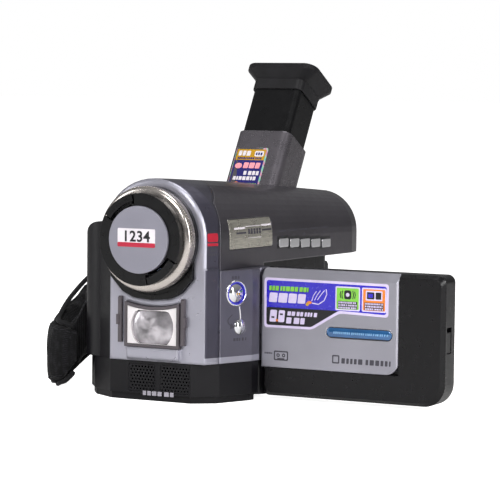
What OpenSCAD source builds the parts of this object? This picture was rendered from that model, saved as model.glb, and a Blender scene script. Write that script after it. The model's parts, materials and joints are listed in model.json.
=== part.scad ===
// Compact tape camcorder with a fold-out monitor, a raised eyepiece and a hand strap.
// Origin: centre of the tripod socket's mouth on the base. +Z up, lens towards -Y, monitor on +X.

/* [Body] */
// Distance from the tripod socket forward to the front face
front_reach = 49; // [47:0.5:60]
// Distance from the tripod socket back to the rear face
rear_reach = 92; // [88:1:112]
// Height of the lens axis above the base
lens_z = 73.3; // [72:0.1:76]
// Outer radius of the arch round the lens
arch_r = 26.8; // [26:0.2:29]
// Wall thickness of the moulded shells
wall = 2; // [1.6:0.1:2.2]
// Height of the joint between base and upper shells
base_z = 18; // [16:0.5:19]
// Height of the joint under the top cover
split_z = 59.5; // [59:0.5:60]
// Outer face of the grip side, measured from the lens axis
grip_x = 43.5; // [42:0.5:52]
// Height of the grip shoulder
grip_z = 79.5; // [77:0.5:80]

/* [Lens] */
// Outer radius of the knurled focus ring
focus_r = 24.8; // [24:0.1:25.5]
// Outer radius of the lens tube
barrel_r = 19.5; // [18.5:0.1:20]
// Outer radius of the lens cap
cap_r = 20.6; // [20:0.1:22]
// Radius of the flat disc on the lens cap
disc_r = 15; // [12:0.5:15.5]
// Running clearance of turning rings
run_gap = 0.05; // [0.03:0.01:0.09]
// Gap between parts that must not touch
clear = 0.3; // [0.25:0.05:0.5]

/* [Monitor] */
// Length of the monitor from hinge end to latch end
panel_l = 89.2; // [75:0.5:90]
// Height of the monitor
panel_h = 58; // [56:0.5:59]
// Thickness of the monitor
panel_t = 14; // [11.5:0.5:15]
// Height of the monitor's tilt axis
tilt_z = 30.85; // [30:0.1:31]
// Distance of the swing axis from the lens axis
hinge_x = 31; // [30:0.5:32]
// Swing axis behind the front face
hinge_back = 40; // [38:0.5:44]
// Radius of the tilt shaft
tilt_r = 2.5; // [2:0.1:3]
// Visible screen width
screen_w = 50.8; // [44:0.1:52]
// Visible screen height
screen_h = 38.1; // [34:0.1:39]

/* [Viewfinder] */
// Width of the eyepiece sleeve
sleeve_w = 28.6; // [20.8:0.5:30]
// Thickness of the eyepiece sleeve
sleeve_t = 24; // [20:0.5:24]
// Length of the sleeve beyond its pivot
sleeve_l = 37; // [34:0.5:39]
// Angle of the raised eyepiece above the horizontal
raised = 60; // [50:1:70]
// How far the inner tube pulls out
pull = 23; // [16:0.5:23]
// Sleeve wall thickness
sleeve_wall = 1.2; // [1.2:0.1:1.8]

/* [Tape and battery] */
// Cassette length, height and thickness
tape_l = 66; // [60:0.5:66]
// Cassette height
tape_h = 48; // [44:0.5:48]
// Cassette thickness
tape_t = 12.2; // [11:0.1:12.4]
// Battery width
battery_w = 38; // [30:0.5:38]
// Battery height
battery_h = 52; // [44:0.5:53]
// Battery thickness
battery_t = 19; // [16:0.5:20]
// Radius of the tripod thread's core
tripod_r = 2.6; // [2.55:0.01:3.2]
// Depth of the tripod thread
tripod_l = 8; // [6:0.5:10]

/* [Buttons] */
// Length of one transport button
key_l = 8.4; // [6:0.1:8.8]
// Height of one transport button
key_h = 4; // [3:0.1:4.4]
// Spacing of the transport buttons
key_step = 10.2; // [9.5:0.1:10.6]
// Radius of the large side button
easy_r = 4.5; // [4:0.1:4.6]
// Radius of the small side button
custom_r = 3.3; // [2.8:0.1:3.6]
// Travel of the push buttons
press = 0.8; // [0.5:0.1:0.9]

/* [Hidden] */
$fn = 48;

front_y = -front_reach;
rear_y = rear_reach;
eps = 0.01;

// Lens stack, measured forward from the front face
flange_y = front_y - 2.2;
ring_back = front_y - 2.6;
ring_front = front_y - 8.4;
cap_back = ring_front - 0.3;
cap_front = cap_back - 3.4;
disc_front = cap_front - 1;
bore_r = barrel_r - 1.6;

// Monitor hinge and bay
hinge_y = front_y + hinge_back;
panel_reach = panel_t / 2 + 0.1;
panel_x = hinge_x + panel_reach;
panel_y = hinge_y - panel_t / 2;
panel_z = tilt_z - panel_h / 2;
sweep_r = norm([panel_reach, panel_t / 2]) + 0.4;
core_r = panel_t / 2 - 0.3;
post_r = core_r - 0.6;
post_z = [17.5, 42];
pin_l = 4;
bay_x = hinge_x + panel_reach - panel_t - 0.9;
bay_y = hinge_y + panel_reach - 0.5;
bay_back = bay_y + panel_l + 1.4;
bay_z = panel_z + panel_h + 1.1;
core_back = 68;

// Eyepiece pivot and channel
pivot_x = -1.8;
pivot_y = rear_y - 40;
pivot_z = 82;
channel_w = sleeve_w / 2 + 0.4;
channel_y = pivot_y - sleeve_t / 2 - 0.5;
channel_z = pivot_z - sleeve_t / 2 - 0.5;
tube_w = sleeve_w - 2 * sleeve_wall - 0.6;
tube_t = sleeve_t - 2 * sleeve_wall - 0.6;
tube_hidden = 15;

// Door and tape
door_y = [-30, 71];
door_z = [base_z + 2, grip_z - 3.5];
tape_x = -grip_x + wall + 1.6;
tape_y = -2;
tape_z = base_z + 5;
deck_x = tape_x + tape_t + 2;
rear_split = 72;
grip_seam_x = 22.5;

// Side buttons lie on the slanted wall between these two corners
wall_a = [30.2, front_y + 8.6];
wall_b = [37, front_y + 25.8];
wall_turn = atan2(wall_b[0] - wall_a[0], wall_b[1] - wall_a[1]);
easy_at = 0.47;
custom_at = 0.61;
easy_z = 49.1;
custom_z = 33.9;

// Stations of the top cover: distance, half spread, corner radius, corner height
STATIONS = [
    [front_y, 0, arch_r - 1.2, lens_z],
    [front_y + 1.2, 0, arch_r, lens_z],
    [front_y + 8.6, 3.4, arch_r - 0.3, lens_z],
    [front_y + 27, 3, arch_r - 1.3, lens_z - 0.6],
    [front_y + 62, 6, arch_r - 2, lens_z - 1.2],
    [rear_y - 9, 15.8, arch_r - 6.8, lens_z - 2],
    [rear_y, 14.6, arch_r - 7.4, lens_z - 2]
];

// Block between two opposite corners
module block(a, b) {
    translate(a)
        cube(b - a);
}

// Plan outline raised between two heights
module rise(z0, z1) {
    translate([0, 0, z0])
        linear_extrude(z1 - z0)
            children();
}

// Front outline (x, z) run between two distances
module run(y0, y1) {
    translate([0, y1, 0])
        rotate([90, 0, 0])
            linear_extrude(y1 - y0)
                children();
}

// Side outline (y, z) run between two widths
module across(x0, x1) {
    translate([x0, 0, 0])
        rotate([90, 0, 90])
            linear_extrude(x1 - x0)
                children();
}

// Rectangle with one corner radius
module soft_rect(a, b, r) {
    translate([a[0] + r, a[1]])
        square([b[0] - a[0] - 2 * r, b[1] - a[1]]);
    translate([a[0], a[1] + r])
        square([b[0] - a[0], b[1] - a[1] - 2 * r]);
    for (x = [a[0] + r, b[0] - r], y = [a[1] + r, b[1] - r])
        translate([x, y])
            circle(r);
}

// Disc or ring on the lens axis between two distances
module lens_disc(y0, y1, r) {
    translate([0, y1, lens_z])
        rotate([90, 0, 0])
            cylinder(h = y1 - y0, r = r);
}

module lens_ring(y0, y1, ro, ri) {
    difference() {
        lens_disc(y0, y1, ro);
        lens_disc(y0 - 1, y1 + 1, ri);
    }
}

// One slice of the top cover's form
module station(s, inset) {
    translate([0, s[0], 0])
        rotate([90, 0, 0])
            linear_extrude(eps)
                union() {
                    for (side = [-1, 1])
                        translate([side * s[1], s[3]])
                            circle(s[2] - inset);
                    translate([-s[1] - s[2] + inset, split_z])
                        square([2 * (s[1] + s[2] - inset), s[3] - split_z]);
                }
}

// Arched form that narrows towards the lens; its inside is left open below
module top_form(inset) {
    difference() {
        hull()
            for (s = STATIONS)
                station(s, inset);
        if (inset <= 0)
            block([-80, front_y - 1, 0], [80, rear_y + 1, split_z]);
        else
            block([-80, rear_y - inset, 0], [80, rear_y + 1, 120]);
    }
}

// Outline of the seam between front bezel and top cover, seen from the side
module seam_side(gap) {
    polygon([
        [front_y - 5, 0], [front_y + 8 - gap, 0], [front_y + 8 - gap, lens_z + 2],
        [front_y + 11 - gap, lens_z + 16], [front_y + 28 - gap, lens_z + 25.5],
        [front_y + 30 - gap, lens_z + 32], [front_y - 5, lens_z + 32]
    ]);
}

// Plan of the lower body on the monitor side, up to its slanted wall
module right_plan(inset) {
    polygon([
        [-22, front_y + inset], [26.8 - inset / 2, front_y + inset],
        [wall_a[0] - inset, wall_a[1]], [wall_b[0] - inset, wall_b[1]],
        [wall_b[0] + 0.6 - inset, hinge_y - panel_t / 2 - 1.4 - inset],
        [bay_x + 2, bay_y - inset], [bay_x - inset, bay_y - inset],
        [bay_x - inset, core_back - inset], [-22, core_back - inset]
    ]);
}

// Round-cornered plan of the grip side
module grip_plan(inset) {
    r = 11.5;
    difference() {
        union() {
            soft_rect([-grip_x + inset, front_y + 6.5 + inset], [0, rear_y - 6 - inset], r - inset);
            polygon([
                [-22, front_y + 0.6 + inset], [0, front_y + 0.6 + inset],
                [0, front_y + 30], [-grip_x + r, front_y + 7 + inset]
            ]);
        }
        translate([-grip_seam_x, front_y - 1])
            square([40, rear_y - front_y + 2]);
    }
}

module grip_side(inset) {
    soft_rect([-grip_x + inset, base_z - 14], [10, grip_z - inset], 12 - inset);
}

module grip_form(inset) {
    intersection() {
        rise(base_z, grip_z)
            grip_plan(inset);
        run(front_y - 1, rear_y)
            grip_side(inset);
    }
}

// Space that the monitor needs round the swing axis and along the body
module swing_space(z0, z1) {
    rise(z0, z1)
        translate([hinge_x, hinge_y])
            intersection() {
                difference() {
                    circle(sweep_r);
                    circle(core_r);
                }
                polygon([[0, 0], [20, -21.4], [60, -21.4], [60, 60], [-21.4, 21.4]]);
            }
    block([bay_x, bay_y, z0], [bay_x + 40, bay_back, z1]);
}

module front_bezel() {
    color("#8e8c99")
        difference() {
            union() {
                intersection() {
                    union() {
                        top_form(0);
                        rise(base_z, split_z + 1)
                            right_plan(0);
                    }
                    across(0.15 - grip_seam_x, 40)
                        seam_side(0);
                    block([0.15 - grip_seam_x, front_y, base_z], [40, front_y + 40, 110]);
                }
                chin();
                intersection() {
                    top_form(0);
                    across(-40, 0.15 - grip_seam_x)
                        seam_side(0);
                    block([-40, front_y, grip_z + 0.1], [0.15 - grip_seam_x, front_y + 40, 110]);
                }
            }
            intersection() {
                union() {
                    top_form(wall);
                    rise(base_z - 1, split_z + 1)
                        right_plan(wall);
                }
                block([-40, front_y + wall, base_z - 1], [60, front_y + 60, 110]);
            }
            lens_disc(front_y - 1, front_y + 6, barrel_r + 0.3);
            collar_hole();
            run(front_y - 4, front_y + 6)
                light_outline(0.2);
        }
}

// Proud lip under the lamp
module chin() {
    difference() {
        block([-12, front_y - 2.4, base_z + 0.7], [14.5, front_y + 1, 24.4]);
        translate([0, front_y - 2.4, base_z + 0.7])
            rotate([45, 0, 0])
                cube([60, 1.6, 1.6], center = true);
    }
}

module collar_outline(grow) {
    half = 21 + grow;
    polygon([
        [-half, lens_z - 8], [-half, 55.7], [-15 - grow, 49.3 - grow], [-9, 46.6 - grow], [0, 45.8 - grow],
        [9, 46.6 - grow], [15 + grow, 49.3 - grow], [half, 55.7], [half, lens_z - 8]
    ]);
}

module collar_hole() {
    run(front_y - 1, front_y + 4)
        collar_outline(0.15);
}

module lens_collar() {
    color("#161618")
        difference() {
            run(front_y - 1.6, front_y + 3.4)
                collar_outline(0);
            lens_disc(front_y - 3, front_y + 6, barrel_r + 0.3);
            lens_disc(front_y - 3, front_y - 1, focus_r + 0.3);
        }
}

module lens_barrel() {
    color("#1b1b1f")
        difference() {
            union() {
                lens_disc(ring_front + 0.4, front_y + 44, barrel_r);
                lens_disc(flange_y - 0.2, front_y - 0.1, focus_r - 1.4);
            }
            lens_disc(ring_front - 1, front_y + 40, bore_r);
            lens_disc(front_y + 39, front_y + 45, 6);
            run(front_y - 1.6, front_y)
                collar_outline(0.2);
        }
}

// Knurled ring: a cone towards the cap, then a plain band
module focus_ring() {
    depth = ring_back - ring_front;
    color("#a9a29f")
        translate([0, ring_back, lens_z])
            rotate([90, 0, 0])
                rotate_extrude($fn = 96)
                    polygon([
                        [barrel_r + run_gap, 0], [focus_r, 0], [focus_r, depth - 2.8],
                        [cap_r + 0.5, depth], [barrel_r + run_gap, depth]
                    ]);
}

module front_lens() {
    color("#3a4a66", 0.6)
        translate([0, front_y + 3, lens_z])
            rotate([90, 0, 0])
                rotate_extrude($fn = 96)
                    polygon(concat(
                        [[0, 0], [bore_r - run_gap, 0]],
                        [for (i = [0 : 8]) [(bore_r - run_gap) * cos(i * 11.25), 1.5 + 3 * sin(i * 11.25)]]
                    ));
}

module rear_lens() {
    color("#3a4a66", 0.6)
        lens_disc(front_y + 26, front_y + 31, bore_r - run_gap);
}

module image_sensor() {
    color("#2a2a2e")
        block([-9, front_y + 44, lens_z - 9], [9, front_y + 47, lens_z + 9]);
}

// Pinch tabs: sectors of the cap, opposite each other
tab_turn = [125, -53];
tab_half = 23.5;

module sector(turn, half, ri, ro) {
    rotate([0, 0, turn])
        intersection() {
            difference() {
                circle(ro);
                circle(ri);
            }
            polygon([
                [0, 0], [2 * ro * cos(half), -2 * ro * sin(half)],
                [3 * ro, 0], [2 * ro * cos(half), 2 * ro * sin(half)]
            ]);
        }
}

module lens_axis_run(y0, y1) {
    translate([0, y1, lens_z])
        rotate([90, 0, 0])
            linear_extrude(y1 - y0)
                children();
}

module cap_ring() {
    color("#1b1b1f")
        difference() {
            union() {
                lens_disc(cap_front, cap_back, cap_r);
                lens_ring(cap_back - eps, cap_back + 2.4, bore_r - 0.25, bore_r - 1.9);
            }
            lens_disc(cap_front - 1, cap_front + 2, disc_r + run_gap);
            for (turn = tab_turn) {
                lens_axis_run(cap_front - 1, cap_front + 2.2)
                    sector(turn, tab_half + 2.5, disc_r + 0.9, cap_r + 1);
                lens_axis_run(cap_front, cap_back + 3)
                    sector(turn, tab_half - 3, bore_r - 4, bore_r + 1);
            }
        }
}

module cap_disc() {
    color("#85848f")
        difference() {
            lens_disc(disc_front, cap_front + 2, disc_r);
            translate([0, disc_front, lens_z])
                rotate([90, 0, 0])
                    rotate_extrude($fn = 96)
                        polygon([[disc_r - 0.4, 1], [disc_r + 1, 1], [disc_r + 1, -1]]);
        }
}

module cap_tab(turn) {
    color("#222226") {
        lens_axis_run(cap_front - 0.3, cap_front + 1.9)
            sector(turn, tab_half, disc_r + 2.3, cap_r);
        lens_axis_run(cap_front + 1.9, cap_back + 1.6)
            sector(turn, tab_half - 5, bore_r - 1.8, bore_r - 0.2);
    }
}

module cap_tab_upper() {
    cap_tab(tab_turn[0]);
}

module cap_tab_lower() {
    cap_tab(tab_turn[1]);
}

// Lamp frame outline, dipped at its top edge to follow the collar
module light_outline(grow) {
    dip_r = 49;
    difference() {
        translate([-13.4 - grow, 24.4 - grow])
            square([28 + 2 * grow, 21 + 2 * grow]);
        translate([0.5, 42.6 + grow + dip_r])
            circle(dip_r, $fn = 96);
    }
}

module light_frame() {
    color("#4b454a") {
        difference() {
            run(front_y - 2, front_y + 5)
                light_outline(0);
            run(front_y - 3, front_y + 6)
                light_outline(-1.2);
        }
        for (x = [-17, 15.4])
            difference() {
                block([x, front_y - 1.6, 26], [x + 1.8, front_y, 46.8]);
                translate([x + 0.9, front_y - 1.6, 46.8])
                    rotate([45, 0, 0])
                        cube([4, 1, 1], center = true);
            }
        for (x = [-17.6, 16.6])
            block([x, front_y - 2.2, 34], [x + 1.2, front_y, 38.6]);
    }
}

module light_window() {
    color("#d6d0d3")
        difference() {
            run(front_y - 1.6, front_y - 0.4)
                light_outline(-1.4);
            run(front_y - 3, front_y + 1)
                lamp_outline(0);
        }
}

module lamp_outline(grow) {
    intersection() {
        soft_rect([-10.2 - grow, 25.9 - grow], [11.7 + grow, 41 + grow], 4.5);
        translate([0.75, 33.7])
            circle(10.95 + grow);
    }
}

module light_reflector() {
    color("#c9c8cc")
        difference() {
            run(front_y - 0.3, front_y + 8)
                lamp_outline(0.2);
            translate([0.75, front_y - 4.5, 33.7])
                sphere(r = 11.4, $fn = 64);
        }
}

module light_bulb() {
    color("#f4f1e8") {
        translate([0.75, front_y + 2.2, 33.7])
            sphere(r = 2, $fn = 32);
        translate([0.75, front_y + 6.7, 33.7])
            rotate([90, 0, 0])
                cylinder(h = 4.2, r = 1.4, $fn = 32);
    }
}

// Base plan: chamfered front corner, flared side, cut for the bay
module base_plan(inset) {
    r = 11.5;
    polygon([
        [-22, front_y + 0.4 + inset], [19.5 - inset / 2, front_y + 0.4 + inset],
        [wall_a[0] - 0.6 - inset, wall_a[1]], [wall_b[0] - 0.2 - inset, wall_b[1] + 0.5],
        [wall_b[0] + 0.2 - inset, hinge_y - panel_t / 2 - 1.4 - inset],
        [bay_x + 2, bay_y - inset], [bay_x - inset, bay_y - inset],
        [bay_x - inset, core_back - inset], [-22, core_back - inset],
        [-grip_x + r, core_back - inset], [-grip_x + 1 + inset, core_back - r],
        [-grip_x + 1 + inset, front_y + 18], [-grip_x + r - 3, front_y + 8.5 + inset]
    ]);
}

module base_form(inset) {
    hull() {
        rise(inset > 0 ? wall : 0, 3)
            base_plan(inset + 2.2);
        rise(4.2, 4.3)
            base_plan(inset);
        rise(base_z - 0.1, base_z + (inset > 0 ? 1 : 0))
            base_plan(inset);
    }
}

module base_cover() {
    color("#232227") {
        translate([hinge_x, hinge_y, post_z[0] - 1])
            cylinder(h = pin_l + 0.8, r = tilt_r);
        difference() {
            union() {
                difference() {
                    rise(3.2, base_z)
                        base_plan(0);
                    rise(wall, base_z + 1)
                        base_plan(wall);
                }
                rise(0, 3.2)
                    base_plan(1.4);
                hinge_core(panel_z, base_z - 0.6);
                for (x = [deck_x - 0.2, board_x - 0.6])
                    block([x, -25, 3], [x + 2, 64, base_z]);
                cylinder(h = tripod_l + 2, r = tripod_r + 4.4);
            }
            translate([0, 0, -1])
                cylinder(h = tripod_l + 1.5, r = tripod_r + 1.9, $fn = 6);
            swing_space(panel_z - 3, base_z + 1);
            translate([hinge_x, hinge_y, post_z[0] - 0.1])
                cylinder(h = 5, r = core_r);
            for (p = SCREWS)
                translate([p[0], p[1], -0.01])
                    screw_hole();
            for (x = mic_x)
                run(front_y - 1, front_y + 1.2)
                    soft_rect([x[0] - 0.2, 4], [x[1] + 0.2, 16.7], 1);
            for (x = mic_x)
                run(front_y, front_y + 4)
                    soft_rect([x[0] + 0.8, 5], [x[1] - 0.8, 15.7], 1);
        }
    }
}

mic_x = [[-12.1, 1.2], [4.1, 18.9]];
board_x = 13;

// Fixed round core on the swing axis, above and below the turning post
module hinge_core(z0, z1) {
    translate([hinge_x, hinge_y, z0])
        cylinder(h = z1 - z0, r = core_r);
    rise(z0, z1)
        translate([hinge_x, hinge_y])
            polygon([[-core_r * 0.7, core_r * 0.7], [-core_r - 2, core_r - 0.8], [-core_r - 2, -8], [4, -8.2]]);
}

module mic_grille() {
    step = 1.65;
    color("#1c1b20")
        for (x = mic_x)
            run(front_y + 0.5, front_y + 1.2)
                difference() {
                    soft_rect([x[0], 4.2], [x[1], 16.5], 0.8);
                    for (i = [0 : floor((x[1] - x[0] - 1.6) / step)], j = [0 : 7])
                        translate([x[0] + 1 + (i + (j % 2) / 2) * step, 5.3 + j * step * 0.87])
                            circle(0.52, $fn = 6);
                }
}

// Hexagonal insert, so that it can't turn in the base
module tripod_bush() {
    color("#b59a5a")
        difference() {
            cylinder(h = tripod_l + 0.5, r = tripod_r + 1.9, $fn = 6);
            translate([0, 0, -1])
                cylinder(h = tripod_l + 1, r = tripod_r);
        }
}

module top_cover() {
    color("#474349")
        difference() {
            union() {
                difference() {
                    top_form(0);
                    top_form(wall);
                }
                intersection() {
                    top_form(0);
                    union() {
                        block([bay_x - 1, bay_y - 12, split_z], [60, rear_y, bay_z + wall]);
                        channel(1.6);
                    }
                }
            }
            across(-60, 60)
                seam_side(-0.2);
            channel(0);
            block([-80, front_y - 1, 0], [0.15 - grip_seam_x, rear_y + 1, grip_z + 0.1]);
            block([bay_x - 1 - eps, bay_y, split_z - 1], [60, rear_y + 1, bay_z]);
            swing_space(split_z - 1, bay_z);
            scoop();
            across(20, 60)
                soft_rect(plate_lo - [0.2, 0.2], plate_hi + [0.2, 0.2], 1);
            for (i = [0 : 4])
                key_hole(i);
            translate([pivot_x - sleeve_w / 2 - 3, pivot_y, pivot_z])
                rotate([0, 90, 0])
                    cylinder(h = 2, r = 1);
        }
    color("#474349")
        for (side = [-1, 1])
            translate([pivot_x + side * (channel_w + eps), pivot_y, pivot_z])
                rotate([0, side * -90, 0])
                    cylinder(h = sleeve_wall + 0.3, r = 2);
}

// Open channel that the eyepiece folds into
module channel(grow) {
    block(
        [pivot_x - channel_w - grow, channel_y - grow, channel_z - grow],
        [pivot_x + channel_w + grow, rear_y + 5, 110]
    );
}

// Shallow hollow in the roof in front of the eyepiece
module scoop() {
    translate([pivot_x, channel_y, lens_z + 40.2])
        rotate([83, 0, 0])
            cylinder(h = 60, r = 20, center = true);
}

plate_lo = [front_y + 16.3, 68.5];
plate_hi = [front_y + 54, 81.6];

module display_plate() {
    color("#b5b2aa")
        intersection() {
            difference() {
                top_form(-0.1);
                top_form(wall - 0.4);
            }
            across(20, 60)
                soft_rect(plate_lo, plate_hi, 0.8);
        }
}

// Transport buttons in a row along the overhang
key_y = front_y + 59.5;

function key_z(i) = 69.3 - 0.55 * i;

module key_box(i, grow, x0, x1) {
    across(x0, x1)
        soft_rect(
            [key_y + i * key_step - grow, key_z(i) - key_h / 2 - grow],
            [key_y + i * key_step + key_l + grow, key_z(i) + key_h / 2 + grow], 0.8
        );
}

module key_hole(i) {
    key_box(i, clear / 2, 24, 60);
}

module play_button(i) {
    color("#cfd0d6")
        intersection() {
            top_form(-press);
            key_box(i, 0, 32.6 + i * 0.55 - 4, 50);
        }
}

module play_button_1() {
    play_button(0);
}

module play_button_2() {
    play_button(1);
}

module play_button_3() {
    play_button(2);
}

module play_button_4() {
    play_button(3);
}

module play_button_5() {
    play_button(4);
}

// Puts a piece on the slanted side wall, its own Z pointing out of the wall
module on_wall(at, z) {
    translate([
        wall_a[0] + at * (wall_b[0] - wall_a[0]),
        wall_a[1] + at * (wall_b[1] - wall_a[1]),
        z
    ])
        rotate([0, 0, -wall_turn])
            rotate([0, 90, 0])
                children();
}

module side_cover() {
    color("#55535f")
        difference() {
            union() {
                difference() {
                    rise(base_z, split_z)
                        right_plan(0);
                    rise(base_z - 1, split_z - wall)
                        right_plan(wall);
                    block([-30, front_y - 1, 0], [bay_x - 2, rear_y, 100]);
                }
                hinge_core(post_z[1] + 0.4, split_z);
            }
            across(-60, 60)
                seam_side(-0.2);
            block([bay_x - 3, bay_y - wall - eps, 0], [bay_x, rear_y, 100]);
            swing_space(base_z - 1, split_z + 1);
            rise(base_z - 1, post_z[1] + 0.4)
                translate([hinge_x, hinge_y])
                    circle(core_r);
            translate([hinge_x, hinge_y, post_z[1] - 1])
                cylinder(h = 5, r = tilt_r + run_gap);
            on_wall(easy_at, easy_z)
                translate([0, 0, -6])
                    cylinder(h = 12, r = easy_r + 0.6);
            on_wall(custom_at, custom_z)
                translate([0, 0, -6])
                    cylinder(h = 12, r = custom_r + 0.2);
        }
}

module bay_wall() {
    color("#38363b")
        difference() {
            union() {
                block([bay_x - wall, bay_y - wall, base_z], [bay_x, core_back, split_z]);
                block([bay_x - wall, bay_y, split_z - 1], [bay_x, core_back, bay_z]);
            }
            across(bay_x - 0.9, bay_x + 1)
                soft_rect(jack_lo - [0.3, 0.3], jack_hi + [0.3, 0.3], 1);
            for (y = [jack_lo[0] + 5, jack_lo[0] + 15])
                translate([bay_x - wall - 1, y, (jack_lo[1] + jack_hi[1]) / 2])
                    rotate([0, 90, 0])
                        cylinder(h = 4, r = 2.4);
            for (i = [0 : 5])
                across(bay_x - wall - 1, bay_x + 1)
                    soft_rect([44 + i * 2.6, 24], [45.4 + i * 2.6, 38], 0.6);
        }
}

jack_lo = [6, 43];
jack_hi = [32, 56];

module jack_cover() {
    color("#2b2a2f")
        difference() {
            across(bay_x - 0.6, bay_x + 0.4)
                soft_rect(jack_lo, jack_hi, 1);
            translate([bay_x + 1.2, jack_hi[0] - 2, (jack_lo[1] + jack_hi[1]) / 2])
                cylinder(h = 5, r = 1.2, center = true);
        }
}

module easy_ring() {
    color("#3d3fa0")
        on_wall(easy_at, easy_z)
            difference() {
                translate([0, 0, -1.4])
                    cylinder(h = 2, r = easy_r + 0.6);
                translate([0, 0, -2])
                    cylinder(h = 4, r = easy_r + 0.1);
            }
}

module dome_button(r, rise_h, depth) {
    ball = (r * r + rise_h * rise_h) / (2 * rise_h);
    translate([0, 0, -depth])
        cylinder(h = depth + eps, r = r);
    intersection() {
        cylinder(h = rise_h + 1, r = r);
        translate([0, 0, rise_h - ball])
            sphere(r = ball, $fn = 96);
    }
}

module easy_button() {
    color("#d5d6dc")
        on_wall(easy_at, easy_z)
            dome_button(easy_r, 1.6, 2.2 + press);
}

module custom_button() {
    color("#d5d6dc")
        on_wall(custom_at, custom_z)
            dome_button(custom_r, 1.2, 2.2 + press);
}

// Turning post with its end stubs, arm and tilt shaft
module hinge_post() {
    color("#a5a5ab") {
        translate([hinge_x, hinge_y, tilt_z])
            cylinder(h = post_z[1] - tilt_z + 3, r = tilt_r);
        difference() {
            translate([hinge_x, hinge_y, post_z[0]])
                cylinder(h = post_z[1] - post_z[0], r = post_r);
            translate([hinge_x, hinge_y, post_z[0] - 1])
                cylinder(h = pin_l + 1, r = tilt_r + run_gap);
        }
        translate([hinge_x, hinge_y, tilt_z])
            rotate([0, 90, 0])
                cylinder(h = panel_reach - 0.3, r = 4.6);
        translate([hinge_x, hinge_y, tilt_z])
            rotate([0, 90, 0])
                cylinder(h = panel_reach + 9, r = tilt_r);
    }
}

// Monitor outline (x, z): a large corner at the free lower end
module panel_outline(inset) {
    x0 = panel_x + inset;
    x1 = panel_x + panel_l - inset;
    z0 = panel_z + inset;
    z1 = panel_z + panel_h - inset;
    big = 10;
    small = 3;
    hull() {
        for (p = [[x0 + small, z0 + small, small], [x0 + 1.5, z1 - 1.5, 1.5], [x1 - 3.5, z1 - 3.5, 3.5], [x1 - big, z0 + big, big]])
            translate([p[0], p[1]])
                circle(p[2], $fn = 40);
    }
}

cover_x = panel_x + 67.6;
cover_z = panel_z + 13.2;
cover_t = 3.4;

module lcd_frame() {
    color("#232226")
        difference() {
            hull() {
                run(panel_y + 0.4, panel_y + panel_t)
                    panel_outline(1.6);
                run(panel_y + 2.4, panel_y + panel_t - 1.6)
                    panel_outline(0);
            }
            block(
                [panel_x - 1, panel_y - 1, cover_z - 0.15],
                [cover_x + 0.15, panel_y + cover_t, panel_z + panel_h + 1]
            );
            block(
                [screen_x - 1, panel_y + panel_t - 2.4, screen_z - 1],
                [screen_x + screen_w + 1, panel_y + panel_t + 1, screen_z + screen_h + 1]
            );
            block(
                [screen_x + 2, panel_y + cover_t + 2, screen_z + 2],
                [screen_x + screen_w - 2, panel_y + panel_t, screen_z + screen_h - 2]
            );
            translate([panel_x - 1, hinge_y, tilt_z])
                rotate([0, 90, 0])
                    cylinder(h = 11, r = tilt_r + run_gap);
            block(
                [panel_x + panel_l - 4.2, hinge_y - 3.4, latch_z[0] - 0.3],
                [panel_x + panel_l + 1, hinge_y + 1.8, latch_z[1] + 2.2]
            );
        }
}

screen_x = panel_x + 16;
screen_z = panel_z + 11;
latch_z = [tilt_z - 5, tilt_z + 4];

module lcd_cover() {
    slope = 4;
    color("#8e8c99")
        difference() {
            intersection() {
                run(panel_y, panel_y + cover_t - 0.1)
                    soft_rect([panel_x - 10, cover_z], [cover_x, panel_z + panel_h + 10], 6);
                run(panel_y, panel_y + cover_t)
                    panel_outline(0);
            }
            translate([0, panel_y, panel_z + panel_h - slope])
                rotate([-33, 0, 0])
                    block([panel_x - 20, -6, -0.01], [cover_x + 20, 0, 12]);
            translate([cover_x, panel_y, 0])
                rotate([0, 0, 45])
                    cube([1.6, 1.6, 300], center = true);
            badge_shape(0.1, 0.6);
        }
}

module badge_shape(grow, depth) {
    run(panel_y - 1, panel_y + depth)
        soft_rect(
            [panel_x + 32.3 - grow, panel_z + 28.4 - grow],
            [panel_x + 64.8 + grow, panel_z + 32.9 + grow], 2.2
        );
}

module lcd_badge() {
    color("#2c5a8c")
        difference() {
            badge_shape(0, 0.6);
            block([panel_x, panel_y - 3, 0], [panel_x + panel_l, panel_y - 0.01, 100]);
        }
}

module lcd_screen() {
    color("#15161a")
        block(
            [screen_x - 0.9, panel_y + panel_t - 2.4, screen_z - 0.9],
            [screen_x + screen_w + 0.9, panel_y + panel_t - 0.6, screen_z + screen_h + 0.9]
        );
}

module lcd_latch() {
    color("#1a1a1d")
        block(
            [panel_x + panel_l - 4, hinge_y - 3.1, latch_z[0]],
            [panel_x + panel_l - 0.2, hinge_y + 1.5, latch_z[1]]
        );
}

module door_space(gap) {
    block(
        [-60, door_y[0] - gap, door_z[0] - 2 * gap],
        [-grip_x + 8, door_y[1] + gap, door_z[1] + gap]
    );
}

module grip_cover() {
    color("#2a292e")
        difference() {
            grip_form(0);
            intersection() {
                grip_form(wall);
                block([-60, front_y, 0], [0, rear_split + 1, 100]);
            }
            block([-23.4, front_y + 3, base_z + 0.01], [0, rear_y, grip_z - wall]);
            rise(0, 100)
                difference() {
                    translate([-60, rear_split])
                        square([80, 60]);
                }
            door_space(0.4);
            translate([zoom_at[0], zoom_at[1], grip_z - 4])
                cylinder(h = 8, r = 3.05);
            translate([photo_at[0], photo_at[1], grip_z - 4])
                cylinder(h = 8, r = 4.2);
            block([eject_at[0] - 2.2, eject_at[1] - 4, grip_z - 4], [eject_at[0] + 2.2, eject_at[1] + 8, grip_z + 1]);
        }
}

zoom_at = [-37, 20.5];
photo_at = [-36.2, 0];
eject_at = [-36.2, 46];

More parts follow.
